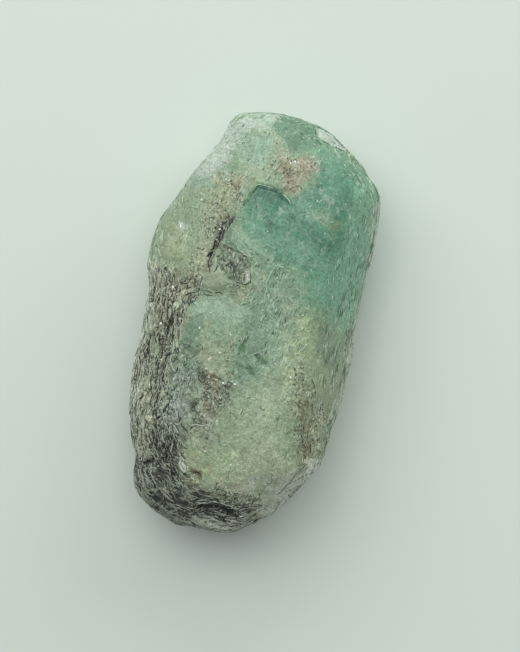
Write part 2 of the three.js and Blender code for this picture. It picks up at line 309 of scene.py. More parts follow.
    Patch(P.DARK_SCHIST, ((-6.2, -11.6), (-4.4, -11.8), (-3.5, -14.0), (-3.3, -16.8), (-6.0, -16.0),
        (-6.6, -14.4), (-6.2, -11.6)), 0.0, 1.2, 0.5, 0.9, S.SCHIST),
    Patch(P.DARK_SCHIST, ((-8.6, -15.8), (-6.4, -14.9), (-4.8, -14.9), (-3.2, -16.9), (-1.2, -17.2),
        (0.6, -17.1), (2.6, -17.3), (4.3, -17.9), (5.2, -19.0), (3.6, -21.4), (-0.5, -22.0), (-5.0, -21.0),
        (-9.0, -18.6), (-8.6, -15.8)), 0.0, 0.6, 0.4, 0.95, S.SCHIST),
    Patch(P.GREY_SCHIST, ((-6.0, -15.9), (-4.2, -16.6)), 0.3, 0.8, 0.5, 0.5),
    # painted light: paler along the foot's lower edge, lifting the shade of its slope
    Patch(P.PEARL, ((-0.6, -20.5), (1.2, -20.1), (4.8, -19.5)), 0.7, 0.9, 0.4, 0.85, S.SCHIST),
    Patch(P.GREY_SCHIST, ((4.4, -18.2), (5.4, -18.6)), 0.3, 0.9, 0.5, 0.7),
    Patch(P.BEIGE, ((4.8, -17.0), (6.6, -17.2), (5.6, -18.9), (4.7, -18.4), (4.8, -17.0)), 0.2, 0.6, 0.4,
        1.0, S.MILKY),
    # painted light: paler on the foot's lower right slope, lifting its shade
    Patch(P.PEARL, ((4.8, -17.0), (6.2, -17.6)), 0.6, 1.2, 0.5, 0.8),
    Patch(P.PALE_SAGE, ((4.6, -15.9), (5.8, -16.4)), 0.5, 1.0, 0.5, 0.6),
    Patch(P.DUN, ((-3.0, -5.4), (-0.7, -5.8), (-0.3, -7.4), (-0.7, -9.8), (-1.6, -11.0), (-3.0, -11.0),
        (-2.7, -8.8), (-2.8, -6.6), (-3.0, -5.4)), 0.0, 1.2, 0.7, 0.8, S.GRANULAR),
    Patch(P.BEIGE, ((0.2, -16.7), (2.6, -16.8), (4.8, -16.9)), 0.45, 0.9, 0.6, 0.85, S.GRANULAR),
)

# Stains, seams, pits and single grains, laid over the zones.
DETAILS = (
    # window: deep spots under the scalloped lip, and the pale tongues at its lower left
    Patch(P.DEEP_TEAL, ((-1.8, 11.6), (-0.6, 11.4)), 0.7, 1.2, 0.5, 0.5),
    Patch(P.DEEP_TEAL, ((-1.6, 12.5), (-0.3, 12.4), (0.7, 11.8)), 0.6, 0.5, 0.3, 0.8),
    Patch(P.DEEP_TEAL, ((4.8, 9.6), (5.9, 8.6)), 0.6, 0.7, 0.3, 0.7),
    Patch(P.DEEP_TEAL, ((0.2, 9.4), (-0.4, 10.2)), 0.45, 0.6, 0.3, 0.6),
    Patch(P.DEEP_TEAL, ((3.2, 10.7), (3.9, 10.4)), 0.4, 0.5, 0.3, 0.6),
    Patch(P.DEEP_TEAL, ((6.9, 13.4), (6.4, 14.8)), 0.5, 0.8, 0.3, 0.5),
    Patch(P.DEEP_TEAL, ((1.4, 6.5), (2.2, 6.2)), 0.3, 0.6, 0.3, 0.5),
    Patch(P.SEA, ((1.0, 8.3), (2.8, 8.0), (5.0, 7.6)), 0.6, 0.9, 0.4, 0.6),
    Patch(P.MINT, ((0.6, 11.2), (1.2, 10.6)), 0.15, 0.4, 0.4, 0.45),
    Patch(P.MINT, ((-1.2, 10.4), (-0.8, 9.9)), 0.12, 0.4, 0.4, 0.45),
    Patch(P.MINT, ((1.9, 9.2), (2.6, 8.9)), 0.12, 0.4, 0.4, 0.4),
    Patch(P.MINT, ((3.4, 7.0), (4.2, 6.8)), 0.15, 0.5, 0.4, 0.45),
    Patch(P.SEA, ((7.0, 8.0), (6.9, 3.6)), 0.5, 1.0, 0.3, 0.8, S.STRIATED),
    Patch(P.MINT, ((-2.9, 7.9), (-2.3, 6.7), (-1.0, 6.2), (-0.7, 7.1), (-1.3, 7.7), (-2.9, 7.9)), 0.05,
        0.25, 0.1, 0.6, S.MILKY, 0.05),
    Patch(P.MOSS, ((-3.4, 8.8), (-3.6, 7.6), (-3.1, 6.9)), 0.4, 0.8, 0.3, 0.55, S.MILKY),
    Patch(P.MOSS, ((-0.5, 6.6), (0.8, 6.3), (0.5, 5.3), (-0.2, 5.6), (-0.5, 6.6)), 0.0, 0.3, 0.15, 0.6),
    Patch(P.MINT, ((0.0, 4.6), (0.5, 3.2)), 0.5, 0.8, 0.3, 0.5, S.MILKY),
    Patch(P.MOSS, ((3.4, 4.2), (4.4, 3.8)), 0.4, 1.2, 0.4, 0.4),
    # rose stain with its bright cleavage
    Patch(P.BEIGE, ((-0.4, 16.7), (-0.6, 15.4), (0.0, 14.3), (0.9, 13.2), (1.9, 13.4), (2.5, 14.3),
        (3.4, 15.6), (3.1, 16.6), (1.8, 17.1), (1.0, 16.6), (-0.4, 16.7)), 0.0, 1.0, 0.7, 0.9, S.GRAINY),
    Patch(P.ROSE, ((1.4, 16.0), (2.6, 16.2), (1.4, 14.0)), 0.5, 1.4, 0.5, 0.7),
    Patch(P.BROWN, ((0.2, 15.6), (0.9, 15.2), (0.9, 14.6)), 0.4, 1.0, 0.4, 0.6),
    Patch(P.DUN, ((-1.0, 16.2), (-0.6, 15.4), (-1.0, 14.8)), 0.2, 1.2, 0.6, 0.3, S.GRAINY),
    Patch(P.ROSE, ((0.6, 13.8), (1.5, 13.6)), 0.3, 0.5, 0.3, 0.6),
    Patch(P.LEAF, ((2.8, 17.4), (2.3, 17.8)), 0.3, 0.7, 0.3, 0.6),
    # flecks on the teal
    Patch(P.MINT, ((4.7, 13.2), (5.3, 13.2)), 0.35, 0.3, 0.4, 0.6, S.FROSTED),
    Patch(P.MINT, ((6.1, 12.6), (6.3, 12.1)), 0.15, 0.2, 0.2, 0.7),
    Patch(P.OLIVE, ((4.8, 11.6), (6.2, 10.9)), 0.5, 1.0, 0.5, 0.5, S.MILKY),
    # iron stains round the mica seam
    Patch(P.IRON, ((-4.6, 12.6), (-4.1, 12.4), (-3.6, 12.6)), 0.16, 0.4, 0.3, 0.7),
    Patch(P.BROWN, ((-3.9, 12.0), (-3.2, 11.6)), 0.3, 0.8, 0.4, 0.4),
    Patch(P.IRON, ((-4.0, 9.3), (-4.5, 9.0)), 0.35, 0.6, 0.3, 0.7),
    Patch(P.BROWN, ((-4.4, 12.4), (-3.7, 12.5)), 0.4, 0.9, 0.3, 0.4),
    Patch(P.IRON, ((-4.1, 9.2), (-4.4, 8.2), (-4.6, 7.0), (-4.85, 5.6), (-4.8, 4.5)), 0.3, 0.8, 0.4, 0.6,
        S.GRAINY),
    Patch(P.DARK_SCHIST, ((-3.9, 9.3), (-4.2, 8.4), (-4.4, 7.0)), 0.28, 0.35, 0.2, 0.9, S.SCHIST, -0.12),
    Patch(P.DARK_SCHIST, ((-4.6, 6.6), (-4.85, 5.6), (-4.8, 4.5)), 0.15, 0.4, 0.2, 0.8, S.SCHIST, -0.1),
    # left lump: pale streaks and spots
    Patch(P.PALE_SAGE, ((-10.0, 6.8), (-10.0, 5.0)), 0.15, 0.4, 0.2, 0.7),
    Patch(P.PALE_SAGE, ((-7.7, 6.8), (-7.7, 5.0)), 0.15, 0.3, 0.15, 0.6),
    Patch(P.FROST, ((-8.5, 8.0), (-8.2, 7.7)), 0.2, 0.3, 0.2, 0.7),
    Patch(P.FOREST, ((-7.9, 8.9), (-8.0, 8.3)), 0.2, 0.4, 0.2, 0.4),
    Patch(P.FOREST, ((-7.1, 7.6),), 0.12, 0.15, 0.1, 0.7),
    Patch(P.IRON, ((-8.3, 4.9),), 0.08, 0.12, 0.1, 0.7),
    Patch(P.PALE_SAGE, ((-10.3, 3.8), (-8.4, 3.4)), 0.3, 0.9, 0.4, 0.4),
    # grey crumpled hollow, quartz grain and chipped ring
    Patch(P.ASH, ((-3.8, 6.8), (-2.4, 6.5), (-1.4, 6.1), (-0.9, 5.4), (-0.9, 3.7), (-1.9, 3.4), (-2.6, 3.6),
        (-2.9, 4.3), (-3.8, 4.5), (-4.0, 5.6), (-3.8, 6.8)), 0.0, 0.3, 0.2, 0.9, S.CLOTTED, -0.08),
    Patch(P.DARK_SCHIST, ((-2.9, 5.3), (-2.3, 4.9)), 0.2, 0.5, 0.3, 0.6),
    Patch(P.ASH, ((-1.9, 3.2), (-1.7, 2.4)), 0.45, 0.4, 0.3, 0.7, S.GRAINY),
    Patch(P.QUARTZ, ((-5.0, 3.3), (-4.3, 4.1), (-3.6, 4.2), (-2.7, 3.2), (-3.0, 2.5), (-4.9, 2.5),
        (-5.0, 3.3)), 0.0, 0.25, 0.15, 0.95, S.MILKY, 0.12),
    Patch(P.FROST, ((-1.0, 4.5), (-0.85, 4.0)), 0.15, 0.2, 0.05, 0.7, S.GLASSY, 0.04),
    # teal-grey blotch and the ringed grain below it
    Patch(P.LEAF_GREY, ((-5.1, -0.4), (-4.4, -0.15), (-3.95, -0.6), (-4.0, -1.7), (-4.2, -2.4),
        (-5.0, -2.7), (-5.7, -2.0), (-5.1, -0.4)), 0.0, 0.25, 0.12, 0.9, S.MILKY, -0.05),
    Patch(P.LEAF_GREY, ((-5.4, -2.8), (-4.4, -3.0)), 0.4, 0.6, 0.3, 0.7, S.MILKY),
    Patch(P.ASH, ((-5.2, -3.9), (-4.3, -4.0)), 0.4, 0.5, 0.3, 0.7, S.GRAINY),
    # the schist flank: the hollow along its crack, and pale lenses
    Patch(P.BLACK_MICA, ((-7.2, -1.6), (-7.4, -3.0), (-7.5, -4.2)), 0.2, 0.5, 0.2, 0.75, S.SHEET, -0.15),
    Patch(P.DARK_SCHIST, ((-8.8, -3.4), (-8.8, -5.4)), 0.15, 0.4, 0.3, 0.7, None, -0.1),
    Patch(P.PEARL, ((-9.45, -4.1), (-9.5, -4.9)), 0.15, 0.2, 0.12, 0.7),
    Patch(P.QUARTZ, ((-8.15, -4.0), (-8.05, -5.2)), 0.25, 0.3, 0.2, 0.85, S.GRAINY),
    Patch(P.ROSE, ((-7.6, -12.2), (-7.2, -13.6)), 0.4, 0.9, 0.4, 0.35),
    Patch(P.ROSE, ((-8.6, 0.2), (-8.2, -1.0)), 0.5, 0.8, 0.4, 0.5),
    Patch(P.QUARTZ, ((-9.0, -1.6), (-9.2, -2.8)), 0.4, 0.6, 0.4, 0.7, S.GRAINY),
    Patch(P.QUARTZ, ((-8.6, -7.2), (-8.4, -8.8)), 0.3, 0.6, 0.4, 0.6, S.GRAINY),
    Patch(P.DARK_SCHIST, ((-6.6, -4.6), (-6.9, -6.4), (-6.9, -8.2)), 0.25, 0.6, 0.4, 0.6),
    # dark hollows of the middle: sunk, and painted dark green, in part as painted shade
    Patch(P.FOREST, ((0.2, -1.9), (0.2, -2.8)), 0.25, 0.3, 0.3, 0.8, None, -0.18),
    Patch(P.FOREST, ((1.7, -3.1), (2.5, -3.6)), 0.2, 0.35, 0.3, 0.75, None, -0.15),
    Patch(P.FOREST, ((1.2, -4.4), (1.6, -4.8)), 0.25, 0.3, 0.3, 0.75, None, -0.12),
    Patch(P.FOREST, ((0.9, -3.0), (1.9, -2.2)), 0.1, 0.3, 0.2, 0.6, None, -0.06),
    Patch(P.FOREST, ((0.2, -3.8), (-0.2, -4.8)), 0.15, 0.4, 0.3, 0.5),
    Patch(P.MOSS, ((0.5, -5.4), (0.9, -5.8)), 0.3, 0.5, 0.3, 0.6),
    # round blots and brown grit
    Patch(P.BLACK_MICA, ((-3.0, -6.1), (-2.9, -6.3)), 0.22, 0.2, 0.1, 0.65, None, -0.1),
    Patch(P.DARK_SCHIST, ((-3.3, -9.0), (-3.2, -9.4)), 0.3, 0.4, 0.2, 0.7, None, -0.08),
    Patch(P.BROWN, ((-1.9, -6.0), (-1.5, -7.6)), 0.4, 1.0, 0.5, 0.45, S.GRANULAR),
    Patch(P.DARK_SCHIST, ((-0.2, -6.2), (0.0, -7.6)), 0.2, 0.6, 0.4, 0.45, S.GRANULAR),
    Patch(P.FOREST, ((1.3, -7.6), (1.8, -7.6)), 0.2, 0.4, 0.2, 0.5),
    Patch(P.FOREST, ((3.1, -10.8), (3.4, -10.9)), 0.15, 0.3, 0.2, 0.5),
    Patch(P.FOREST, ((6.5, -11.4),), 0.2, 0.4, 0.2, 0.4),
    Patch(P.FOREST, ((2.3, -11.9), (2.5, -12.6)), 0.1, 0.3, 0.1, 0.4),
    # the dark column beside the body, with the pale grain, the pits and the milky grain at its foot
    Patch(P.DARK_SCHIST, ((-6.2, -17.0), (-4.0, -17.8), (-1.6, -18.6)), 1.0, 1.6, 0.6, 0.7),
    Patch(P.BLACK_MICA, ((-4.4, -13.0), (-4.3, -13.8), (-4.1, -15.0), (-3.8, -16.0)), 0.42, 0.9, 0.5, 0.95,
        S.SCHIST, -0.2),
    Patch(P.PEARL, ((-3.0, -14.75), (-2.6, -15.15)), 0.26, 0.12, 0.04, 0.8, S.GLASSY, 0.12),
    Patch(P.IRON, ((-1.7, -15.2), (-1.1, -15.4)), 0.3, 0.4, 0.2, 0.8),
    Patch(P.BLACK_MICA, ((-1.6, -15.3), (-1.1, -15.3)), 0.14, 0.25, 0.12, 0.6, None, -0.18),
    Patch(P.BEIGE, ((-2.0, -15.9), (-1.3, -16.2)), 0.4, 0.3, 0.2, 0.8, S.GRAINY),
    Patch(P.QUARTZ, ((-0.7, -15.6), (0.4, -15.8), (0.5, -16.2), (-0.2, -16.5), (-0.7, -16.2),
        (-0.7, -15.6)), 0.05, 0.2, 0.1, 0.85, S.MILKY, 0.1),
    Patch(P.OLIVE, ((0.9, -16.4), (2.4, -16.8), (4.2, -16.6)), 0.3, 0.7, 0.4, 0.6, S.GRANULAR, -0.05),
    Patch(P.BROWN, ((1.0, -16.8), (2.2, -17.0)), 0.15, 0.4, 0.3, 0.6),
    Patch(P.DARK_SCHIST, ((-4.4, -11.6), (-3.6, -12.4)), 0.4, 0.8, 0.4, 0.75),
    Patch(P.BROWN, ((-2.5, -16.1), (-1.6, -16.6)), 0.4, 0.8, 0.5, 0.5),
    Patch(P.ASH, ((-4.2, -7.2), (-3.8, -8.8)), 0.4, 1.2, 0.5, 0.5),
    Patch(P.BLACK_MICA, ((-6.6, -17.4), (-5.4, -18.6)), 0.4, 1.2, 0.6, 0.4),
    # the bedding of the foot
    Patch(P.BLACK_MICA, ((-6.9, -15.9), (-6.3, -15.4), (-5.9, -15.0)), 0.15, 0.25, 0.12, 0.9, None, -0.25),
    Patch(P.BLACK_MICA, ((-0.3, -18.6), (0.8, -18.2), (1.8, -18.1), (2.8, -18.4)), 0.3, 0.35, 0.15, 0.85,
        S.SHEET, -0.25),
    Patch(P.GREY_SCHIST, ((-0.7, -18.3), (0.4, -17.75), (1.8, -17.55), (3.3, -17.85), (4.6, -18.3)), 0.12,
        0.2, 0.1, 0.9, None, 0.12),
    # brown stain at the foot of the prism face
    Patch(P.OLIVE, ((7.2, -5.4), (7.7, -8.4), (8.4, -11.8)), 0.8, 1.2, 0.5, 0.9, S.GRAINY),
    Patch(P.BROWN, ((7.3, -6.2), (7.8, -9.0), (8.5, -11.6)), 0.5, 1.6, 0.7, 0.75),
    Patch(P.IRON, ((8.2, -9.8), (8.6, -11.4)), 0.3, 0.7, 0.4, 0.5),
    Patch(P.BEIGE, ((8.9, -6.6), (9.3, -10.8)), 0.5, 0.8, 0.4, 0.8, S.GRANULAR),
    # outer ledge of the foot, smooth and grey, and paler still as painted light that lifts the shade of its
    # slope
    Patch(P.SAGE, ((5.2, -15.6), (5.8, -14.6)), 0.5, 1.2, 0.5, 0.7),
    Patch(P.FOG, ((9.7, -12.3), (8.5, -14.6), (7.4, -16.4), (6.2, -18.0)), 0.85, 0.9, 0.6, 0.95, S.GRAINY),
)

# Hairlines: cracks, chipped edges and single fibres, as they run over the upper side, with dark lines of
# painted shade along the outline and under the window's lip, and one painted highlight on the knob.
LINES = (
    # head: the outline, drawn dark as painted shade, then the cut of the dark face, panel and sliver
    Line(T.SHADE, 0.10, ((-5.9, 18.3), (-5.2, 19.5), (-4.4, 20.15), (-3.4, 20.5), (-2.0, 20.75),
        (-0.9, 20.9))),
    Line(T.SHADE, 0.10, ((1.6, 20.7), (2.6, 20.3), (3.6, 20.05), (4.4, 19.75))),
    Line(T.CRACK, 0.12, ((4.3, 19.75), (4.9, 19.35), (5.6, 18.9), (6.3, 18.4))),
    Line(T.SHADE, 0.12, ((6.3, 18.4), (7.0, 18.0), (7.6, 17.2), (8.5, 16.5), (9.3, 15.8))),
    Line(T.CRACK, 0.12, ((9.3, 15.8), (9.75, 15.2), (9.9, 14.4))),
    Line(T.SHADE, 0.10, ((9.95, 14.0), (10.2, 12.4), (10.35, 10.0), (10.4, 8.0))),
    Line(T.EDGE, 0.06, ((-1.9, 19.1), (-1.7, 19.7), (-1.3, 20.3), (-1.1, 20.7))),
    Line(T.EDGE, 0.07, ((-1.9, 18.95), (-1.2, 18.4), (-0.5, 18.1), (-0.1, 17.6), (0.2, 17.1),
        (0.35, 16.7))),
    Line(T.SHADE, 0.10, ((2.3, 20.0), (2.5, 19.3), (2.8, 18.8), (3.3, 18.55))),
    Line(T.SHADE, 0.26, ((-3.8, 19.65), (-3.3, 19.85), (-2.9, 20.05))),
    Line(T.EDGE, 0.08, ((-4.6, 17.6), (-4.0, 17.95), (-3.0, 18.0), (-2.2, 17.95), (-1.6, 17.95))),
    Line(T.EDGE, 0.08, ((-4.6, 17.5), (-4.4, 16.6), (-4.4, 15.6), (-4.1, 14.9))),
    Line(T.EDGE, 0.07, ((-1.5, 17.9), (-1.45, 16.8), (-1.7, 15.6), (-1.9, 15.0))),
    Line(T.CRACK, 0.15, ((3.3, 18.95), (3.6, 18.85), (3.95, 18.75))),
    Line(T.CRACK, 0.09, ((4.05, 19.2), (4.5, 19.1))),
    Line(T.CRACK, 0.10, ((4.6, 18.72), (5.1, 18.62), (5.55, 18.6))),
    Line(T.EDGE, 0.08, ((3.3, 18.75), (4.2, 18.55), (5.2, 18.45))),
    Line(T.EDGE, 0.07, ((3.6, 16.1), (3.3, 15.4), (3.1, 15.1))),
    Line(T.EDGE, 0.07, ((3.4, 16.3), (3.65, 15.8), (3.7, 15.3))),
    Line(T.SHADE, 0.08, ((7.1, 15.2), (7.25, 14.2), (7.4, 13.2))),
    Line(T.SHADE, 0.08, ((7.9, 14.4), (8.3, 14.0))),
    # window: lip, with a dark line of painted shade under it, tongues and the fibres below
    Line(T.EDGE, 0.05, ((-2.3, 12.6), (-1.9, 13.2), (-1.2, 13.25), (-0.4, 13.2))),
    Line(T.EDGE, 0.12, ((0.7, 12.75), (1.2, 12.45), (1.6, 12.0))),
    # painted shade under the lip
    Line(T.DEEP, 0.12, ((-2.2, 12.3), (-1.8, 12.95), (-1.1, 12.95), (-0.2, 12.95), (0.5, 12.55),
        (1.0, 12.25))),
    Line(T.EDGE, 0.10, ((-3.5, 8.6), (-2.9, 8.25), (-2.3, 8.05), (-1.7, 7.85), (-1.4, 7.45))),
    Line(T.EDGE, 0.07, ((-1.4, 7.6), (-1.0, 7.65), (-0.7, 7.35), (-0.7, 6.8), (-0.8, 6.3), (-1.3, 6.2),
        (-2.0, 6.4))),
    Line(T.EDGE, 0.07, ((-2.9, 7.9), (-2.7, 7.2), (-2.3, 6.7), (-1.8, 6.3))),
    Line(T.EDGE, 0.08, ((-2.6, 9.1), (-2.6, 8.7), (-2.8, 8.4))),
    Line(T.EDGE, 0.06, ((-0.7, 6.75), (0.0, 6.7), (0.7, 6.4), (1.0, 6.25))),
    Line(T.EDGE, 0.08, ((-0.8, 6.2), (-0.5, 5.9), (-0.7, 5.4), (-0.6, 5.0), (-0.3, 4.4))),
    Line(T.EDGE, 0.12, ((1.6, 5.9), (1.3, 5.3), (1.1, 4.7), (1.0, 4.2), (1.2, 3.6), (1.15, 3.0), (1.2, 2.3),
        (0.8, 2.0))),
    Line(T.EDGE, 0.08, ((2.2, 4.5), (2.1, 4.0), (2.2, 3.5), (2.1, 2.9))),
    Line(T.EDGE, 0.07, ((3.4, 6.2), (3.35, 5.6))),
    Line(T.EDGE, 0.07, ((3.6, 6.1), (3.7, 5.5))),
    Line(T.EDGE, 0.07, ((3.95, 6.2), (3.9, 5.6))),
    Line(T.EDGE, 0.07, ((4.25, 6.1), (4.2, 5.5))),
    Line(T.EDGE, 0.07, ((4.5, 6.0), (4.45, 5.2), (4.6, 4.4), (4.5, 3.6), (4.7, 3.0))),
    Line(T.EDGE, 0.08, ((5.5, 5.6), (5.6, 4.8))),
    Line(T.EDGE, 0.08, ((3.9, 2.6), (4.4, 2.8), (4.9, 2.95))),
    Line(T.EDGE, 0.09, ((2.6, 5.6), (2.8, 5.72), (3.0, 5.55), (2.8, 5.4), (2.6, 5.5))),
    Line(T.EDGE, 0.10, ((3.2, 2.8), (3.1, 2.2), (3.4, 1.9), (3.5, 1.3))),
    Line(T.EDGE, 0.09, ((3.65, 2.4), (3.55, 1.9))),
    Line(T.EDGE, 0.09, ((3.9, 2.2), (3.8, 1.6))),
    Line(T.EDGE, 0.10, ((2.5, 0.9), (2.3, 0.4), (2.0, 0.3))),
    Line(T.EDGE, 0.10, ((1.9, 0.0), (1.8, -0.5), (1.6, -0.8))),
    Line(T.EDGE, 0.08, ((1.4, 0.2), (1.3, -0.3))),
    Line(T.EDGE, 0.16, ((1.6, -1.05), (1.7, -1.15))),
    Line(T.EDGE, 0.08, ((4.15, 1.2), (4.0, 0.6), (3.8, 0.2))),
    Line(T.EDGE, 0.18, ((5.35, 0.9), (5.3, 0.4))),
    Line(T.EDGE, 0.09, ((4.5, -0.3), (4.4, -0.9))),
    Line(T.EDGE, 0.09, ((5.1, -0.5), (5.0, -1.1))),
    Line(T.EDGE, 0.09, ((4.5, -1.5), (4.4, -2.1))),
    Line(T.EDGE, 0.11, ((4.3, -2.4), (4.2, -3.2), (4.0, -3.6))),
    Line(T.EDGE, 0.10, ((5.0, -2.6), (4.9, -3.2))),
    Line(T.EDGE, 0.08, ((4.9, -3.6), (4.6, -4.3))),
    Line(T.EDGE, 0.08, ((0.8, -3.2), (1.4, -2.8), (2.0, -2.4))),
    Line(T.EDGE, 0.06, ((1.0, -3.3), (1.5, -3.7), (1.9, -4.0))),
    # left lump: the outline, drawn dark as painted shade, then chipped panels
    Line(T.SHADE, 0.12, ((-8.7, 12.2), (-9.4, 10.8), (-10.2, 9.2), (-10.6, 8.2), (-10.7, 7.0), (-10.7, 5.4),
        (-10.4, 3.8))),
    Line(T.EDGE, 0.10, ((-7.9, 9.8), (-7.2, 9.75), (-7.1, 10.4), (-6.8, 10.7))),
    Line(T.EDGE, 0.08, ((-7.9, 9.6), (-8.1, 9.0), (-8.4, 8.5))),
    Line(T.EDGE, 0.08, ((-8.9, 10.6), (-8.8, 10.0))),
    Line(T.EDGE, 0.08, ((-10.0, 7.0), (-9.9, 6.0), (-10.0, 5.0), (-9.6, 4.4))),
    Line(T.EDGE, 0.08, ((-7.6, 7.1), (-7.5, 6.2), (-7.6, 5.2))),
    Line(T.EDGE, 0.14, ((-8.6, 8.1), (-8.3, 7.7), (-7.9, 7.8))),
    Line(T.SHADE, 0.14, ((-6.3, 6.1), (-5.9, 5.9), (-5.5, 6.0))),
    # mica seam and crumpled hollow
    Line(T.CRACK, 0.20, ((-3.85, 9.5), (-3.95, 9.0), (-4.1, 8.5))),
    Line(T.CRACK, 0.20, ((-4.35, 8.7), (-4.2, 8.1), (-4.4, 7.6), (-4.3, 7.0))),
    Line(T.CRACK, 0.12, ((-4.1, 8.1), (-4.12, 7.3))),
    Line(T.CRACK, 0.12, ((-4.6, 6.6), (-4.85, 6.0), (-4.8, 5.4), (-4.95, 4.9), (-4.7, 4.3))),
    Line(T.CRACK, 0.10, ((-4.4, 6.6), (-4.5, 5.9))),
    Line(T.CRACK, 0.12, ((-5.0, 8.5), (-4.95, 8.0))),
    Line(T.EDGE, 0.08, ((-4.95, 7.7), (-5.05, 6.8), (-5.1, 6.0))),
    Line(T.CRACK, 0.11, ((-3.6, 5.9), (-3.5, 5.4), (-3.3, 5.2))),
    Line(T.CRACK, 0.13, ((-2.85, 5.3), (-2.5, 5.0), (-2.3, 4.8))),
    Line(T.CRACK, 0.12, ((-2.95, 4.95), (-2.6, 4.7))),
    Line(T.CRACK, 0.09, ((-2.3, 5.5), (-2.1, 5.2), (-2.2, 4.9))),
    Line(T.CRACK, 0.09, ((-3.2, 6.2), (-2.8, 5.9), (-2.6, 5.6))),
    Line(T.CRACK, 0.08, ((-1.8, 5.8), (-1.5, 5.5))),
    Line(T.CRACK, 0.09, ((-2.7, 3.9), (-2.4, 3.6))),
    Line(T.CRACK, 0.07, ((-3.9, 6.8), (-3.4, 6.65), (-2.9, 6.5), (-2.0, 6.4), (-1.3, 6.0))),
    Line(T.CRACK, 0.08, ((-3.4, 4.6), (-3.0, 4.2), (-3.2, 3.9))),
    Line(T.EDGE, 0.07, ((-3.1, 5.6), (-2.7, 5.5), (-2.2, 5.7))),
    Line(T.EDGE, 0.15, ((-1.1, 4.6), (-0.88, 4.3), (-0.85, 3.9), (-1.05, 3.68), (-1.35, 3.7))),
    Line(T.CRACK, 0.09, ((-0.7, 4.8), (-0.5, 4.3), (-0.55, 3.85), (-0.9, 3.5), (-1.4, 3.45), (-1.9, 3.6))),
    Line(T.CRACK, 0.06, ((-1.05, 4.75), (-1.2, 4.3), (-1.15, 3.9))),
    # crust over the schist
    Line(T.CRACK, 0.10, ((-9.7, 1.2), (-9.3, 0.9), (-9.0, 1.2), (-8.7, 0.8))),
    Line(T.CRACK, 0.10, ((-8.9, 0.6), (-8.5, 1.1), (-8.2, 1.3))),
    Line(T.CRACK, 0.12, ((-8.2, 1.9), (-7.8, 1.3), (-7.4, 1.4))),
    Line(T.CRACK, 0.12, ((-7.5, 1.0), (-7.0, 1.5), (-6.7, 1.8))),
    Line(T.CRACK, 0.12, ((-7.3, 2.6), (-6.9, 2.2), (-6.5, 2.4), (-6.2, 1.9))),
    Line(T.SHADE, 0.09, ((-6.9, 2.9), (-6.3, 2.8), (-5.9, 3.2), (-5.5, 3.5))),
    Line(T.CRACK, 0.10, ((-6.4, 1.2), (-5.9, 1.6), (-5.4, 1.7))),
    Line(T.SHADE, 0.09, ((-6.1, 1.5), (-5.5, 1.3), (-5.0, 1.55), (-4.6, 1.65))),
    Line(T.CRACK, 0.07, ((-4.95, 2.05), (-4.3, 2.1), (-3.8, 2.05))),
    Line(T.CRACK, 0.09, ((-4.7, 1.75), (-4.1, 1.75), (-3.7, 1.85))),
    Line(T.CRACK, 0.10, ((-3.6, 2.15), (-3.2, 2.25), (-2.8, 2.1))),
    Line(T.EDGE, 0.08, ((-5.6, 0.4), (-5.0, 1.0), (-4.2, 1.4), (-3.4, 1.5), (-2.4, 1.9))),
    Line(T.EDGE, 0.07, ((-5.0, -0.1), (-4.5, -0.12), (-4.2, 0.05), (-3.9, 0.1))),
    Line(T.EDGE, 0.07, ((-2.6, 0.6), (-2.4, 0.0), (-2.6, -0.5))),
    Line(T.EDGE, 0.12, ((-1.9, 1.6), (-2.1, 1.3))),
    Line(T.EDGE, 0.07, ((-3.1, -1.9), (-3.3, -2.5))),
    # cracks of the flank and rings beside them
    Line(T.CRACK, 0.13, ((-7.8, -1.25), (-7.3, -1.35), (-6.85, -1.25))),
    Line(T.CRACK, 0.20, ((-6.9, -1.4), (-7.1, -1.9), (-7.2, -2.4), (-7.25, -3.2), (-7.2, -4.0),
        (-7.3, -4.9), (-7.4, -5.4))),
    Line(T.CRACK, 0.12, ((-7.2, -2.2), (-7.7, -2.4))),
    Line(T.CRACK, 0.12, ((-7.3, -3.3), (-7.8, -3.5), (-7.9, -4.0))),
    Line(T.CRACK, 0.10, ((-7.5, -4.3), (-7.8, -5.4), (-7.6, -6.2), (-7.3, -6.6))),
    Line(T.CRACK, 0.08, ((-6.3, -0.7), (-6.6, -1.4), (-6.75, -2.2), (-6.8, -2.9))),
    Line(T.CRACK, 0.10, ((-6.3, -2.8), (-6.6, -3.6))),
    Line(T.CRACK, 0.10, ((-5.9, -3.9), (-6.0, -4.6), (-5.6, -5.1))),
    Line(T.CRACK, 0.09, ((-6.9, -5.0), (-6.8, -6.0), (-7.0, -7.0), (-6.9, -7.6), (-7.0, -8.4), (-6.8, -9.4),
        (-7.0, -10.8))),
    Line(T.CRACK, 0.10, ((-7.4, -7.2), (-7.2, -8.2), (-7.4, -9.4), (-7.4, -10.6))),
    Line(T.CRACK, 0.10, ((-8.8, -3.4), (-8.9, -4.4), (-8.7, -5.3))),
    Line(T.CRACK, 0.10, ((-9.5, -4.1), (-9.7, -5.0), (-9.9, -6.2), (-9.8, -7.0))),
    Line(T.SHADE, 0.08, ((-5.0, -4.6), (-4.5, -4.65), (-4.1, -4.3), (-3.9, -3.8), (-3.55, -3.5),
        (-3.6, -3.1))),
    Line(T.CRACK, 0.08, ((-5.6, -3.6), (-5.1, -3.4), (-4.7, -3.5))),
    Line(T.CRACK, 0.12, ((-4.2, -3.2), (-3.9, -3.4))),
    Line(T.CRACK, 0.10, ((-3.3, -5.9), (-3.0, -5.7), (-2.7, -5.9), (-2.6, -6.4), (-2.9, -6.7),
        (-3.25, -6.4), (-3.3, -5.9))),
    Line(T.CRACK, 0.12, ((-3.2, -8.4), (-2.9, -8.8), (-3.3, -9.2))),
    Line(T.CRACK, 0.10, ((-2.2, -8.0), (-2.4, -7.4), (-2.1, -7.0))),
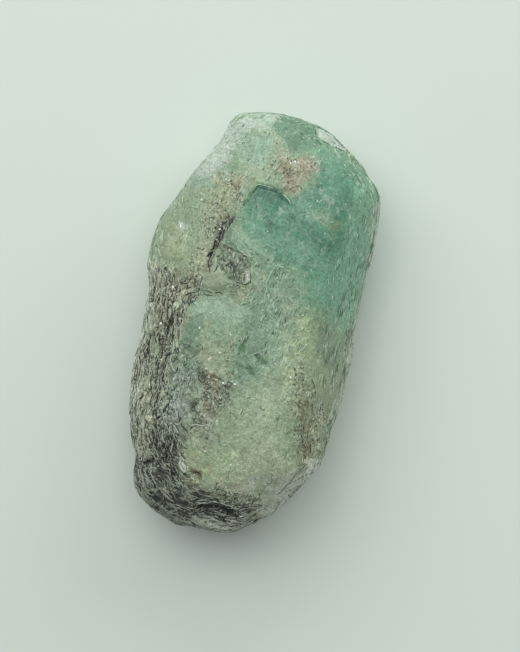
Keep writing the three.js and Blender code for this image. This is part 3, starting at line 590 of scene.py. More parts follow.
    Line(T.CRACK, 0.10, ((-9.2, -8.3), (-9.0, -9.0), (-9.1, -9.6))),
    Line(T.EDGE, 0.09, ((-9.6, -8.0), (-9.2, -8.9), (-9.0, -9.8))),
    Line(T.CRACK, 0.10, ((-8.2, -12.8), (-7.9, -13.6), (-7.5, -14.2))),
    Line(T.CRACK, 0.10, ((-8.8, -11.8), (-8.4, -12.9), (-8.1, -14.0), (-7.8, -15.2))),
    # lower left of the body
    Line(T.EDGE, 0.09, ((-2.9, -10.75), (-2.4, -10.65), (-1.8, -10.65), (-1.3, -10.4))),
    Line(T.EDGE, 0.15, ((-0.5, -9.7), (-0.65, -10.0), (-0.5, -10.4))),
    Line(T.CRACK, 0.18, ((-3.95, -10.9), (-3.8, -11.2), (-3.4, -11.4), (-3.1, -11.7))),
    Line(T.EDGE, 0.10, ((-4.7, -11.3), (-4.3, -11.6), (-4.0, -11.9))),
    Line(T.EDGE, 0.08, ((-4.6, -11.1), (-4.2, -11.25))),
    Line(T.CRACK, 0.12, ((-3.7, -14.7), (-3.65, -15.6), (-3.8, -16.3))),
    Line(T.CRACK, 0.08, ((-3.2, -14.5), (-2.85, -14.45), (-2.45, -14.9), (-2.45, -15.3))),
    Line(T.CRACK, 0.09, ((-2.5, -16.4), (-2.0, -16.7), (-1.5, -16.6), (-1.0, -16.3))),
    Line(T.CRACK, 0.12, ((-1.7, -15.25), (-1.3, -15.15), (-1.0, -15.3))),
    Line(T.CRACK, 0.14, ((0.6, -15.7), (0.75, -16.1))),
    Line(T.CRACK, 0.12, ((0.8, -16.5), (1.4, -16.3), (1.8, -16.5))),
    Line(T.CRACK, 0.12, ((1.0, -16.9), (1.7, -16.8), (2.1, -17.0))),
    Line(T.CRACK, 0.12, ((2.4, -17.0), (2.9, -17.3), (3.4, -17.4), (4.3, -17.7))),
    Line(T.CRACK, 0.10, ((3.5, -17.1), (4.0, -16.8), (4.1, -16.3))),
    Line(T.CRACK, 0.09, ((5.0, -15.8), (5.1, -16.2))),
    Line(T.SHADE, 0.08, ((4.2, -16.0), (4.6, -15.7))),
    # foot
    Line(T.EDGE, 0.12, ((-0.6, -18.4), (0.0, -18.0), (0.8, -17.75), (1.7, -17.62), (2.6, -17.75),
        (3.4, -18.0), (4.2, -18.2))),
    Line(T.CRACK, 0.22, ((-0.6, -18.8), (0.1, -18.3), (0.9, -18.0), (1.7, -17.85), (2.5, -17.95),
        (3.3, -18.25), (3.9, -18.5))),
    Line(T.CRACK, 0.13, ((-0.3, -19.2), (0.4, -18.7), (1.3, -18.5), (1.9, -18.2))),
    Line(T.CRACK, 0.13, ((2.6, -18.4), (3.4, -18.7), (4.0, -19.0), (4.7, -19.2))),
    Line(T.EDGE, 0.10, ((0.2, -19.4), (0.8, -19.6), (1.5, -19.5))),
    Line(T.EDGE, 0.10, ((-0.2, -19.9), (0.7, -19.8), (1.6, -20.1))),
    Line(T.CRACK, 0.18, ((-7.2, -16.1), (-6.9, -15.7), (-6.4, -15.5), (-6.0, -15.0))),
    Line(T.CRACK, 0.12, ((-7.0, -16.6), (-6.6, -16.2))),
    # painted highlight along the knob, beside its groove
    Line(T.EDGE, 0.10, ((-6.4, -16.2), (-5.8, -15.9), (-5.2, -15.8))),
    # outer ledge and the brown stain
    Line(T.CRACK, 0.07, ((8.9, -12.1), (8.3, -12.8), (7.9, -13.4), (7.6, -14.2), (7.1, -15.0),
        (6.7, -15.7))),
    Line(T.EDGE, 0.09, ((8.7, -12.9), (8.3, -13.5), (7.9, -14.3), (7.4, -15.2))),
    # the bottom right outline, drawn dark as painted shade
    Line(T.SHADE, 0.10, ((10.2, -10.6), (9.9, -12.0), (9.4, -13.2), (8.8, -14.5), (8.1, -15.6),
        (7.8, -16.5), (7.0, -17.3), (5.8, -18.6))),
    Line(T.CRACK, 0.10, ((8.0, -15.6), (7.95, -16.3), (7.5, -16.9))),
    Line(T.CRACK, 0.12, ((7.5, -8.4), (7.8, -9.0))),
    Line(T.CRACK, 0.12, ((7.6, -9.4), (7.9, -9.8))),
    Line(T.CRACK, 0.12, ((8.3, -10.4), (8.2, -11.2), (8.6, -11.6))),
    Line(T.CRACK, 0.12, ((8.7, -10.2), (8.9, -11.0))),
    Line(T.CRACK, 0.09, ((8.0, -6.3), (8.15, -7.0))),
    Line(T.CRACK, 0.09, ((7.5, -4.0), (7.8, -4.6), (8.1, -5.3))),
    Line(T.EDGE, 0.08, ((7.65, -4.0), (7.95, -4.6), (8.2, -5.2))),
    Line(T.SHADE, 0.10, ((7.3, -1.1), (7.4, -1.4))),
    Line(T.SHADE, 0.09, ((8.15, -1.7), (8.4, -2.1))),
    Line(T.EDGE, 0.08, ((8.8, -1.5), (9.0, -2.1))),
    # the right rim, drawn dark as painted shade
    Line(T.SHADE, 0.09, ((10.3, 8.0), (10.35, 5.0), (10.2, 2.0), (10.3, -1.0), (10.4, -4.0), (10.3, -7.0))),
)

# Chipped edges, fibres and crumbs strewn over each kind of skin.
STREWN = (
    Strewn(T.EDGE, "fibres", 420, (0.15, 0.7), 0.09, 0.15, 0.10),
    Strewn(T.SHADE, "fibres", 140, (0.2, 0.7), 0.08, 0.12, 0.10),
    Strewn(T.EDGE, "facets", 1700, (0.1, 0.4), 0.09, 3.0, 0.7),
    Strewn(T.SHADE, "facets", 500, (0.1, 0.4), 0.07, 3.0, 0.7),
    Strewn(T.EDGE, "striae", 300, (0.2, 0.7), 0.07, 0.10, 0.05),
    Strewn(T.SHADE, "striae", 340, (0.2, 0.9), 0.07, 0.10, 0.05),
    Strewn(T.CRUMB, "grain", 2200, (0.12, 0.35), 0.085, 3.0, 1.0),
    Strewn(T.EDGE, "grain", 2000, (0.12, 0.35), 0.085, 3.0, 1.0),
)

# Leaf edges of the schist and the dark gaps between them, the long ones first.
LEAVES = (
    Strewn(T.CRACK, "foliation", 150, (1.0, 3.2), 0.17, 0.15, 0.04, 12),
    Strewn(T.LEAF_EDGE, "foliation", 120, (0.6, 2.0), 0.09, 0.15, 0.04, 12),
    Strewn(T.LEAF_EDGE, "foliation", 2300, (0.4, 1.5), 0.07, 0.28, 0.22, 5),
    Strewn(T.CRACK, "foliation", 2200, (0.3, 1.4), 0.085, 0.28, 0.22, 5),
)

# Fracture steps: the lip of the clear window, the foot's outer ledge and the edge of the broken head.
LEDGES = (
    Ledge(((-2.8, 10.2), (-2.5, 11.6), (-2.2, 12.3), (-1.8, 13.0), (-1.1, 13.0), (-0.2, 12.95),
        (0.5, 12.55), (1.0, 12.25), (1.5, 11.9), (1.9, 11.3)), 0.23, 3.0),
    Ledge(((9.4, -11.6), (8.6, -12.5), (7.9, -13.4), (7.6, -14.2), (6.7, -15.7), (6.0, -17.2)), -0.3, 1.8),
    Ledge(((-1.9, 19.2), (-1.0, 18.3), (0.4, 16.7), (1.8, 17.5), (2.9, 18.6)), -0.10, 2.0),
)

# How far fibres and striae lean off the crystal's length, in radians.
LEANS = {"fibres": -0.20, "striae": 0.15}
# The heights in mm between which the zones of the upper side fade in.
UPPER_FADE = (3.0, 5.5)
# The spot in plan that the mica layers sweep round at the foot, and the radius in mm that turns their sweep
# into a length.
CORE = (1.0, -10.0)
CORE_RADIUS = 8.0
# Corners of the CAD solid that lie this close together are one, in metres.
MERGE = 1e-6
# Faces that look up this steeply or lie this high, in metres, get the smallest triangles.
SEEN_SLOPE = 0.2
SEEN_HEIGHT = 6.0 * MM
# Steps through the noise that keep its patterns apart: waves, stretched noise, fracture faces and tilts.
WAVE_SHIFT = 17.3
STRETCH_SHIFT = 23.1
FACET_SHIFT = 31.7
TILT_SHIFT = 7.3
# How far the edges of fracture faces wander and the width of their bays, against the faces' own width.
FACET_WANDER = 0.35
FACET_WANDER_WIDTH = 0.8
# Patches with a larger half width, in mm, or with more points than this have edges with large bays. Then the
# widths of large and small bays, in mm.
LARGE_PATCH_HALF = 0.9
LARGE_PATCH_CORNERS = 6
LARGE_BAYS = 3.0
SMALL_BAYS = 1.2
# The length in mm over which a ledge dies away at its ends.
LEDGE_FADE = 1.5
# Stands in for the squared length of a line that is only one point.
NO_LENGTH = 1e-9
# How finely coordinates wind, and how far: those of the clouds, in mm, and of cells, in cell widths.
BEND_SCALE = 0.9
CLOUD_BEND = 0.9
CELL_BEND = 1.3
# A hand-drawn line's unsteadiness in mm, how fast it changes, and how fast a line's width does.
UNSTEADY = 0.07
UNSTEADY_PACE = 1.7
THICK_AND_THIN_PACE = 2.3
# A strip's half width against its width: at its ends, along the middle, and how far that swells and shrinks.
POINTED = 0.2
BROAD = 0.6
SWELLING = 0.3
# The width in mm of the clusters that strewn lines gather in.
CLUSTER_WIDTH = 1.2
# How far strewn lines turn where the mica layers crumple, in radians, and the width of a crumple in mm.
CRUMPLE = 0.9
CRUMPLE_WIDTH = 1.2
# A height above the whole stone, in mm.
ABOVE_STONE = 30.0
# How much a higher spot is liked above a nearer one where a bright cleavage is placed.
UPPER_FIRST = 0.02
# The nearest that the camera sees, in metres.
NEAREST_SEEN = 0.01
# Bright cleavages, near white in part as a painted highlight: the way they all face, and for each its place
# in plan and its radius, in mm.
GLINT_FACING = (-0.30, 0.19, 0.93)
GLINTS = (
    (0.75, 15.95, 0.13), (1.15, 16.15, 0.16), (0.95, 16.05, 0.10), (-4.45, 8.15, 0.14), (-5.05, 13.0, 0.10),
    (-4.2, -1.5, 0.12), (-8.1, -2.0, 0.16), (-7.65, 1.75, 0.16), (-8.7, 2.85, 0.10), (3.75, -18.6, 0.15),
    (9.3, -13.3, 0.20), (7.55, -15.05, 0.12), (-1.75, -3.4, 0.12), (-1.25, -1.5, 0.10), (5.35, -4.15, 0.14),
    (-0.8, -6.3, 0.14), (0.3, -6.15, 0.14), (-1.1, -13.0, 0.10), (1.6, -13.7, 0.10), (-9.4, -11.8, 0.18),
    (-8.3, 7.7, 0.16), (-6.85, 10.65, 0.12), (-0.6, -9.9, 0.12),
)

# Zones of the sides and the underside, laid first. ZONES and DETAILS cover them above.
UNDERSIDE = (
    Patch(P.LEAF, ((0.0, 18.0), (3.0, 8.0)), 6.0, 3.0, 2.2, 0.8, S.MILKY),
    Patch(P.TEAL, ((7.0, 15.0), (9.0, 4.0)), 3.0, 3.0, 2.0, 0.7, S.STRIATED),
    Patch(P.FROST, ((-6.0, 19.0), (-7.6, 13.4)), 0.9, 2.8, 2.0, 0.55, S.FROSTED),
    Patch(P.OLIVE, ((-9.0, 8.0), (-8.0, 4.0)), 2.2, 2.4, 1.8, 0.8, S.MILKY),
    Patch(P.BEIGE, ((1.0, 3.0), (-1.0, -3.0)), 2.2, 2.4, 2.0, 0.8, S.GRANULAR),
    Patch(P.GREY_GREEN, ((10.0, 2.0), (9.6, -10.0)), 2.4, 3.0, 2.0, 0.8, S.STRIATED),
    Patch(P.GREY_SCHIST, ((-10.4, 0.6), (-9.5, -8.0), (-7.0, -14.0)), 3.6, 1.8, 2.4, 1.0, S.SCHIST),
    Patch(P.DARK_SCHIST, ((-7.0, -16.0), (-3.0, -19.5), (4.0, -20.0)), 2.6, 1.6, 1.6, 1.0, S.SCHIST),
)


def smooth_step(start: float, end: float, value: np.ndarray) -> np.ndarray:
    """Rises smoothly from 0 at start to 1 at end."""
    share = np.clip((value - start) / (end - start), 0.0, 1.0)
    return share * share * (3.0 - 2.0 * share)


def mixed(one: np.ndarray, other: np.ndarray | float, share: np.ndarray) -> np.ndarray:
    """Goes from one to other as share goes from 0 to 1."""
    return one + (other - one) * share


def placed(name: str, data: bpy.types.ID) -> bpy.types.Object:
    """Puts a mesh, a lamp or a camera into the scene.

    Args:
        name: the new object's name.
        data: what it shows.

    Returns:
        The object, at the origin and unturned.
    """
    made = bpy.data.objects.new(name, data)
    bpy.context.scene.collection.objects.link(made)
    return made


def even_out(shape: bmesh.types.BMesh, passes: int) -> None:
    """Moves every corner halfway to the middle of its neighbours, passes times over."""
    for _ in range(passes):
        bmesh.ops.smooth_vert(
            shape, verts=shape.verts, factor=0.5, use_axis_x=True, use_axis_y=True, use_axis_z=True
        )


class Ground:
    """The stone's fine surface as arrays: its points in mm, the way they face, and what they wear."""

    def __init__(self, mesh: bpy.types.Mesh) -> None:
        """Reads the mesh and starts with a plain body colour, no texture and no relief.

        Args:
            mesh: the fine mesh, in metres.
        """
        count = len(mesh.vertices)
        self.places = self.read(mesh, "co") / MM
        self.normals = self.read(mesh, "normal")
        self.colours = np.tile(linear(Pigment.SAGE.value), (count, 1))
        self.textures = {name: np.full(count, value) for name, value in vars(Skin.MILKY.value).items()}
        self.height = np.zeros(count)
        self.relief = np.zeros(count)
        self.upper = smooth_step(*UPPER_FADE, self.places[:, 2])
        self.everywhere = np.ones(count)
        self.noises: dict[tuple[float, int], np.ndarray] = {}

    @staticmethod
    def read(mesh: bpy.types.Mesh, name: str) -> np.ndarray:
        """Reads three numbers for each point of a mesh.

        Args:
            mesh: the mesh.
            name: which property of its points.

        Returns:
            One row a point.
        """
        flat = np.empty(len(mesh.vertices) * 3)
        mesh.vertices.foreach_get(name, flat)
        return flat.reshape(-1, 3)

    def waves(self, size: float, seed: int = 0) -> np.ndarray:
        """Noise over the surface, kept so that it is only worked out once.

        Args:
            size: rough width of its lumps, in mm.
            seed: which of the noises of that size.

        Returns:
            One number a point, from about -1 to 1.
        """
        if (size, seed) not in self.noises:
            spots = self.places / size + WAVE_SHIFT * (seed + 1)
            self.noises[size, seed] = np.array([noise.noise(spot) for spot in spots.tolist()])
        return self.noises[size, seed]

    @staticmethod
    def stretched(spread: np.ndarray, sizes: Sizes, seed: int = 0) -> np.ndarray:
        """Noise whose lumps have a width of their own along each axis.

        Args:
            spread: three coordinates a point, in mm.
            sizes: the lumps' width along each, in mm.
            seed: which of the noises.

        Returns:
            One number a point, from about -1 to 1.
        """
        spots = spread / np.array(sizes) + STRETCH_SHIFT * (seed + 1)
        return np.array([noise.noise(spot) for spot in spots.tolist()])

    def facets(self, size: float, slope: float, seed: int) -> np.ndarray:
        """Small fracture faces, each flat and tilted its own way.

        Args:
            size: their rough width, in mm.
            slope: how steeply they tilt.
            seed: which of the patterns of that size.

        Returns:
            Their height at each point, in mm.
        """
        rise = np.empty(len(self.places))
        wander = np.column_stack([self.waves(size * FACET_WANDER_WIDTH, seed + axis) for axis in range(3)])
        spots = (self.places + FACET_WANDER * size * wander) / size + FACET_SHIFT * seed
        for index, spot in enumerate(spots.tolist()):
            _, middles = noise.voronoi(spot)
            middle = middles[0]
            tilt = noise.cell_vector(middle * TILT_SHIFT)
            rise[index] = (Vector(spot) - middle).dot(tilt) * 2.0 - tilt.length + 1.0
        return slope * size * rise

    def distance(self, path: tuple[Point, ...]) -> tuple[np.ndarray, np.ndarray]:
        """How far each point lies from a line in plan, and on which side.

        Args:
            path: the line's points, or one point.

        Returns:
            The distances in mm, and the same with the right of the line as it is walked counted below zero.
            Inside a closed line, the first counts below zero.
        """
        plan = self.places[:, :2]
        best = np.full(len(plan), np.inf)
        side = np.ones(len(plan))
        inside = np.zeros(len(plan), dtype=bool)
        for start, end in zip(path, path[1:] or path):
            run = np.array(end) - np.array(start)
            share = np.clip((plan - np.array(start)) @ run / max(run @ run, NO_LENGTH), 0.0, 1.0)
            off = plan - np.array(start) - share[:, None] * run
            away = np.hypot(off[:, 0], off[:, 1])
            turn = np.sign(run[0] * off[:, 1] - run[1] * off[:, 0])
            side = np.where(away < best, turn, side)
            best = np.minimum(away, best)
            crossed = (plan[:, 1] > start[1]) != (plan[:, 1] > end[1])
            inside ^= crossed & (plan[:, 0] < start[0] + run[0] * (plan[:, 1] - start[1]) / (run[1] or 1.0))
        closed = len(path) > 3 and path[0] == path[-1]
        return np.where(inside & closed, -best, best), best * side

    def cover(self, patch: Patch, seed: int) -> np.ndarray:
        """How fully a patch covers each point, with its edge made ragged by noise.

        Args:
            patch: the patch.
            seed: which of the noises its edge follows.

        Returns:
            One number a point, from 0 to 1.
        """
        away, _ = self.distance(patch.path)
        large = patch.half > LARGE_PATCH_HALF or len(patch.path) > LARGE_PATCH_CORNERS
        wander = 0.6 * self.waves(LARGE_BAYS if large else SMALL_BAYS, seed)
        wander += 0.6 * self.waves(1.0, seed + 3) + 0.35 * self.waves(0.5, seed)
        crumbs = self.waves(0.5, seed + 6) + self.waves(0.3, seed)
        edge = away + patch.ragged * wander + 0.5 * patch.soft * crumbs
        return 1.0 - smooth_step(patch.half - patch.soft / 2, patch.half + patch.soft / 2, edge)

    def lay(self, patches: tuple[Patch, ...], where: np.ndarray) -> None:
        """Lays patches one over another: colour, textures and height.

        Args:
            patches: the patches, lowest first.
            where: how strongly they may show at each point, from 0 to 1.
        """
        for index, patch in enumerate(patches):
            share = self.cover(patch, index % 3) * where
            colour = np.array(linear(patch.pigment.value))
            self.colours = mixed(self.colours, colour, (share * patch.strength)[:, None])
            self.height += patch.height * share
            for name, value in vars(patch.skin.value).items() if patch.skin else ():
                self.textures[name] = mixed(self.textures[name], value, share)

    def break_off(self, ledge: Ledge) -> None:
        """Steps the ground down along a fracture line, then brings it back up over the ledge's reach.

        Args:
            ledge: the fracture.
        """
        away, signed = self.distance(ledge.path)
        step = smooth_step(-ledge.soft, 0.0, -signed + 0.25 * self.waves(0.5))
        back = 1.0 - smooth_step(0.0, ledge.reach, away)
        for end in (ledge.path[0], ledge.path[-1]):
            back *= smooth_step(0.0, LEDGE_FADE, np.hypot(*(self.places[:, :2] - np.array(end)).T))
        self.height -= ledge.drop * step * back * self.upper

    def worn(self) -> np.ndarray:
        """Works out where the points lie once they are moved by their height and relief.

        Returns:
            One place a point, in mm, never below the floor.
        """
        places = self.places + self.normals * (self.height + self.relief)[:, None]
        places[:, 2] = np.maximum(places[:, 2], 0.0)
        return places

    def grainline(self) -> np.ndarray:
        """Works out where each point lies in the mica layers, which run down the flank and round the foot.

        Returns:
            For each point how far it is across the layers, along them and up, in mm.
        """
        sway = 0.7 * self.waves(3.0, 4) + 0.25 * self.waves(1.2, 4)
        x, y = self.places[:, 0] - CORE[0] + sway, self.places[:, 1] - CORE[1]
        below = np.minimum(y, 0.0)
        turned = np.arctan2(-below, -x)
        along = np.maximum(y, 0.0) - CORE_RADIUS * turned
        return np.column_stack([np.hypot(x, below), along, self.places[:, 2]])


@dataclass
class Crystal:
    """The whole stone, sculpted on a copy of its CAD solid.

    Each texture has the width of its shapes, along each axis where they are stretched, and their rise, in mm.
    facets has the width and the slope of each size of fracture face.
    """

    node: bpy.types.Object
    finish: "BerylAndSchist"
    layers: Sizes = (0.9, 5.0, 1.6)
    layer_rise: float = 0.06
    leaves: Sizes = (0.32, 2.0, 0.8)
    leaf_rise: float = 0.08
    striae: Sizes = (0.5, 14.0, 0.5)
    stria_rise: float = 0.008
    facets: tuple[tuple[float, float], ...] = ((1.6, 0.045), (0.8, 0.025))
    swell: float = 3.0
    swell_rise: float = 0.08
    hackle: float = 1.2
    hackle_rise: float = 0.02

    def build(self) -> tuple[bpy.types.Object, Ground]:
        """Makes the stone's mesh, wears it, paints it and dresses it.

        Returns:
            The piece, and its surface as arrays.
        """
        mesh = bpy.data.meshes.new("raw_emerald")
        self.refine(mesh)
        ground = Ground(mesh)
        ground.lay(UNDERSIDE, ground.everywhere)
        ground.lay(ZONES, ground.upper)
        ground.lay(DETAILS, ground.upper)
        for ledge in LEDGES:
            ground.break_off(ledge)
        grain = ground.grainline()
        self.roughen(ground, grain)
        self.keep(mesh, ground, grain)
        piece = placed("raw_emerald", mesh)
        mesh.materials.append(self.finish.build())
        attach(piece, "root")
        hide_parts("emerald_crystal")
        log.info("raw_emerald: %d triangles", len(mesh.polygons))
        return piece, ground

    def refine(self, mesh: bpy.types.Mesh) -> None:
        """Fills mesh with the CAD solid's shape in small triangles, smaller still on the upper side.

        Args:
            mesh: an empty mesh.
        """
        shape = bmesh.new()
        shape.from_mesh(self.node.data)
        bmesh.ops.remove_doubles(shape, verts=shape.verts, dist=MERGE)
        bmesh.ops.subdivide_edges(shape, edges=shape.edges, cuts=2, use_grid_fill=True)
        even_out(shape, 8)
        shape.normal_update()
        seen = [f for f in shape.faces if f.normal.z > SEEN_SLOPE or f.calc_center_median().z > SEEN_HEIGHT]
        edges = list({edge for face in seen for edge in face.edges})
        bmesh.ops.subdivide_edges(shape, edges=edges, cuts=1, use_grid_fill=True)
        bmesh.ops.triangulate(shape, faces=[face for face in shape.faces if len(face.verts) > 3])
        even_out(shape, 1)
        for face in shape.faces:
            face.smooth = True
        shape.to_mesh(mesh)
        shape.free()

    def roughen(self, ground: Ground, grain: np.ndarray) -> None:
        """Adds the relief of the worn surface: lumps, mica layers, growth striae and fracture faces.

        Args:
            ground: the surface.
            grain: across, along and height of the mica layers.
        """
        wear = ground.textures
        lumps = ground.waves(0.5, 1) + 0.7 * ground.waves(0.3, 2)
        layers = 1.0 - 4.0 * np.abs(ground.stretched(grain, self.layers))
        leaves = ground.stretched(grain, self.leaves, 1)
        hackle = 1.0 - 2.0 * np.abs(ground.waves(self.hackle, 1))
        facets = sum(ground.facets(*facet, seed) for seed, facet in enumerate(self.facets, 1))
        ground.relief += wear["lumps"] * lumps
        ground.relief += wear["foliation"] * (self.layer_rise * layers + self.leaf_rise * leaves)
        ground.relief += wear["striae"] * self.stria_rise * ground.stretched(ground.places, self.striae)
        ground.relief += wear["facets"] * facets
        swell = self.swell_rise * ground.waves(self.swell, 2) + self.hackle_rise * hackle
        ground.height += (1.0 - wear["striae"]) * swell

    @staticmethod
    def keep(mesh: bpy.types.Mesh, ground: Ground, grain: np.ndarray) -> None:
        """Moves the points of mesh to the worn surface, and stores with them what the finish reads.

        Args:
            mesh: the fine mesh.
            ground: its surface.
            grain: across, along and height of the mica layers.
        """
        mesh.vertices.foreach_set("co", (ground.worn() * MM).ravel())
        mesh.update()
        opaque = np.column_stack([ground.colours, np.ones(len(grain))])
        mesh.attributes.new("tint", "FLOAT_COLOR", "POINT").data.foreach_set("color", opaque.ravel())
        mesh.attributes.new("grainline", "FLOAT_VECTOR", "POINT").data.foreach_set("vector", grain.ravel())
        for name, values in {**ground.textures, "relief": ground.relief}.items():
            mesh.attributes.new(name, "FLOAT", "POINT").data.foreach_set("value", values)


def add(
    tree: bpy.types.NodeTree, kind: str, inputs: dict | None = None, **settings: object
) -> bpy.types.Node:
    """Adds a shader node.

    Args:
        tree: the node tree.
        kind: the node's type.
        inputs: for each input, a number or colour, or the output that feeds it.
        settings: the node's own options.

    Returns:
        The node.
    """
    made = tree.nodes.new(kind)
    for name, value in settings.items():
        setattr(made, name, value)
    for key, value in (inputs or {}).items():
        if isinstance(value, bpy.types.NodeSocket):
            tree.links.new(value, made.inputs[key])
        else:
            made.inputs[key].default_value = value
    return made


def begin(name: str) -> tuple[bpy.types.Material, bpy.types.NodeTree]:
    """Makes a material with an empty node tree.

    Args:
        name: the material's name.

    Returns:
        The material and its tree.
    """
    material = bpy.data.materials.new(name)
    material.use_nodes = True
    material.node_tree.nodes.clear()
    return material, material.node_tree


def close(tree: bpy.types.NodeTree, surface: dict) -> None:
    """Ends a material's tree with its surface, by that shader's inputs."""
    shader = add(tree, "ShaderNodeBsdfPrincipled", surface)
    add(tree, "ShaderNodeOutputMaterial", {"Surface": shader.outputs[0]})


@dataclass
class Paint:
    """A colour that is built up layer by layer in one node tree, and the patterns that its layers follow."""

    tree: bpy.types.NodeTree
    colour: Output

    def maths(self, operation: str, *values: Value) -> Output:
        """One sum on numbers."""
        return add(self.tree, "ShaderNodeMath", dict(enumerate(values)), operation=operation).outputs[0]

    def vectors(self, operation: str, inputs: dict) -> Output:
        """One sum on vectors."""
        return add(self.tree, "ShaderNodeVectorMath", inputs, operation=operation).outputs[0]

    def stored(self, name: str, kind: str = "Fac") -> Output:
        """What the mesh holds under a name: a number, a Color or a Vector."""
        return add(self.tree, "ShaderNodeAttribute", attribute_name=name).outputs[kind]

    def turned(self, place: Output, degrees: float) -> Output:
        """Coordinates turned about the upright axis."""
        inputs = {"Vector": place, "Angle": math.radians(degrees)}
        return add(self.tree, "ShaderNodeVectorRotate", inputs, rotation_type="Z_AXIS").outputs[0]

    def bent(self, place: Output, reach: float) -> Output:
        """Coordinates moved to and fro by a noise, so that what is drawn on them winds.

        Args:
            place: the coordinates.
            reach: how far, in their own unit.

        Returns:
            The new coordinates.
        """
        inputs = {"Vector": place, "Scale": BEND_SCALE, "Detail": 2.0}
        shift = add(self.tree, "ShaderNodeTexNoise", inputs).outputs["Color"]
        return self.vectors("MULTIPLY_ADD", {0: shift, 1: (reach, reach, reach), 2: place})

    def counted(self, place: Output, sizes: Sizes) -> Output:
        """Coordinates counted in steps of a width along each axis."""
        return self.vectors("MULTIPLY", {0: place, 1: tuple(1.0 / size for size in sizes)})

    def noise(self, place: Output, sizes: Sizes, detail: float) -> Output:
        """Noise from 0 to 1 with lumps of a width in mm along each axis."""
        inputs = {"Vector": self.counted(place, sizes), "Scale": 1.0, "Detail": detail}
        return add(self.tree, "ShaderNodeTexNoise", inputs).outputs["Fac"]

    def cells(self, place: Output, sizes: Sizes) -> tuple[Output, Output]:
        """Cells of the given sizes in mm, with wavy edges.

        Args:
            place: the coordinates, in mm.
            sizes: the cells' width along each axis.

        Returns:
            A brightness of its own for each cell, from 0 to 1, and the distance to its edge, about 0.5 in
            the middle.
        """
        cell = {"Vector": self.bent(self.counted(place, sizes), CELL_BEND), "Scale": 1.0}
        colour = add(self.tree, "ShaderNodeTexVoronoi", cell).outputs["Color"]
        edge = add(self.tree, "ShaderNodeTexVoronoi", cell, feature="DISTANCE_TO_EDGE").outputs["Distance"]
        return add(self.tree, "ShaderNodeSeparateColor", {"Color": colour}).outputs[0], edge

    def ramp(self, value: Value, low: float, high: float, by: Value = 1.0) -> Output:
        """Goes from 0 at low to by at high."""
        inputs = {"Value": value, "From Min": low, "From Max": high, "To Max": by}
        return add(self.tree, "ShaderNodeMapRange", inputs).outputs[0]

    def grade(self, pattern: Output, low: float, high: float, by: Value = 1.0) -> None:
        """Makes the colour darker and lighter by a pattern.

        Args:
            pattern: it, from 0 to 1.
            low: what the colour is multiplied by where the pattern is 0.
            high: and where it is 1.
            by: how much of that is done, from 0 to 1.
        """
        step = self.maths("MULTIPLY_ADD", pattern, high - low, low - 1.0)
        factor = self.maths("MULTIPLY_ADD", step, by, 1.0)
        self.colour = self.vectors("SCALE", {0: self.colour, "Scale": factor})

    def cover(self, pigment: Pigment, share: Output, most: float) -> None:
        """Covers the colour with a pigment.

        Args:
            pigment: the pigment.
            share: where, from 0 to 1.
            most: how far at most, from 0 to 1.
        """
        factor = self.maths("MULTIPLY", share, most)
        inputs = {"Factor": factor, 6: self.colour, 7: (*linear(pigment.value), 1.0)}
        self.colour = add(self.tree, "ShaderNodeMix", inputs, data_type="RGBA").outputs[2]


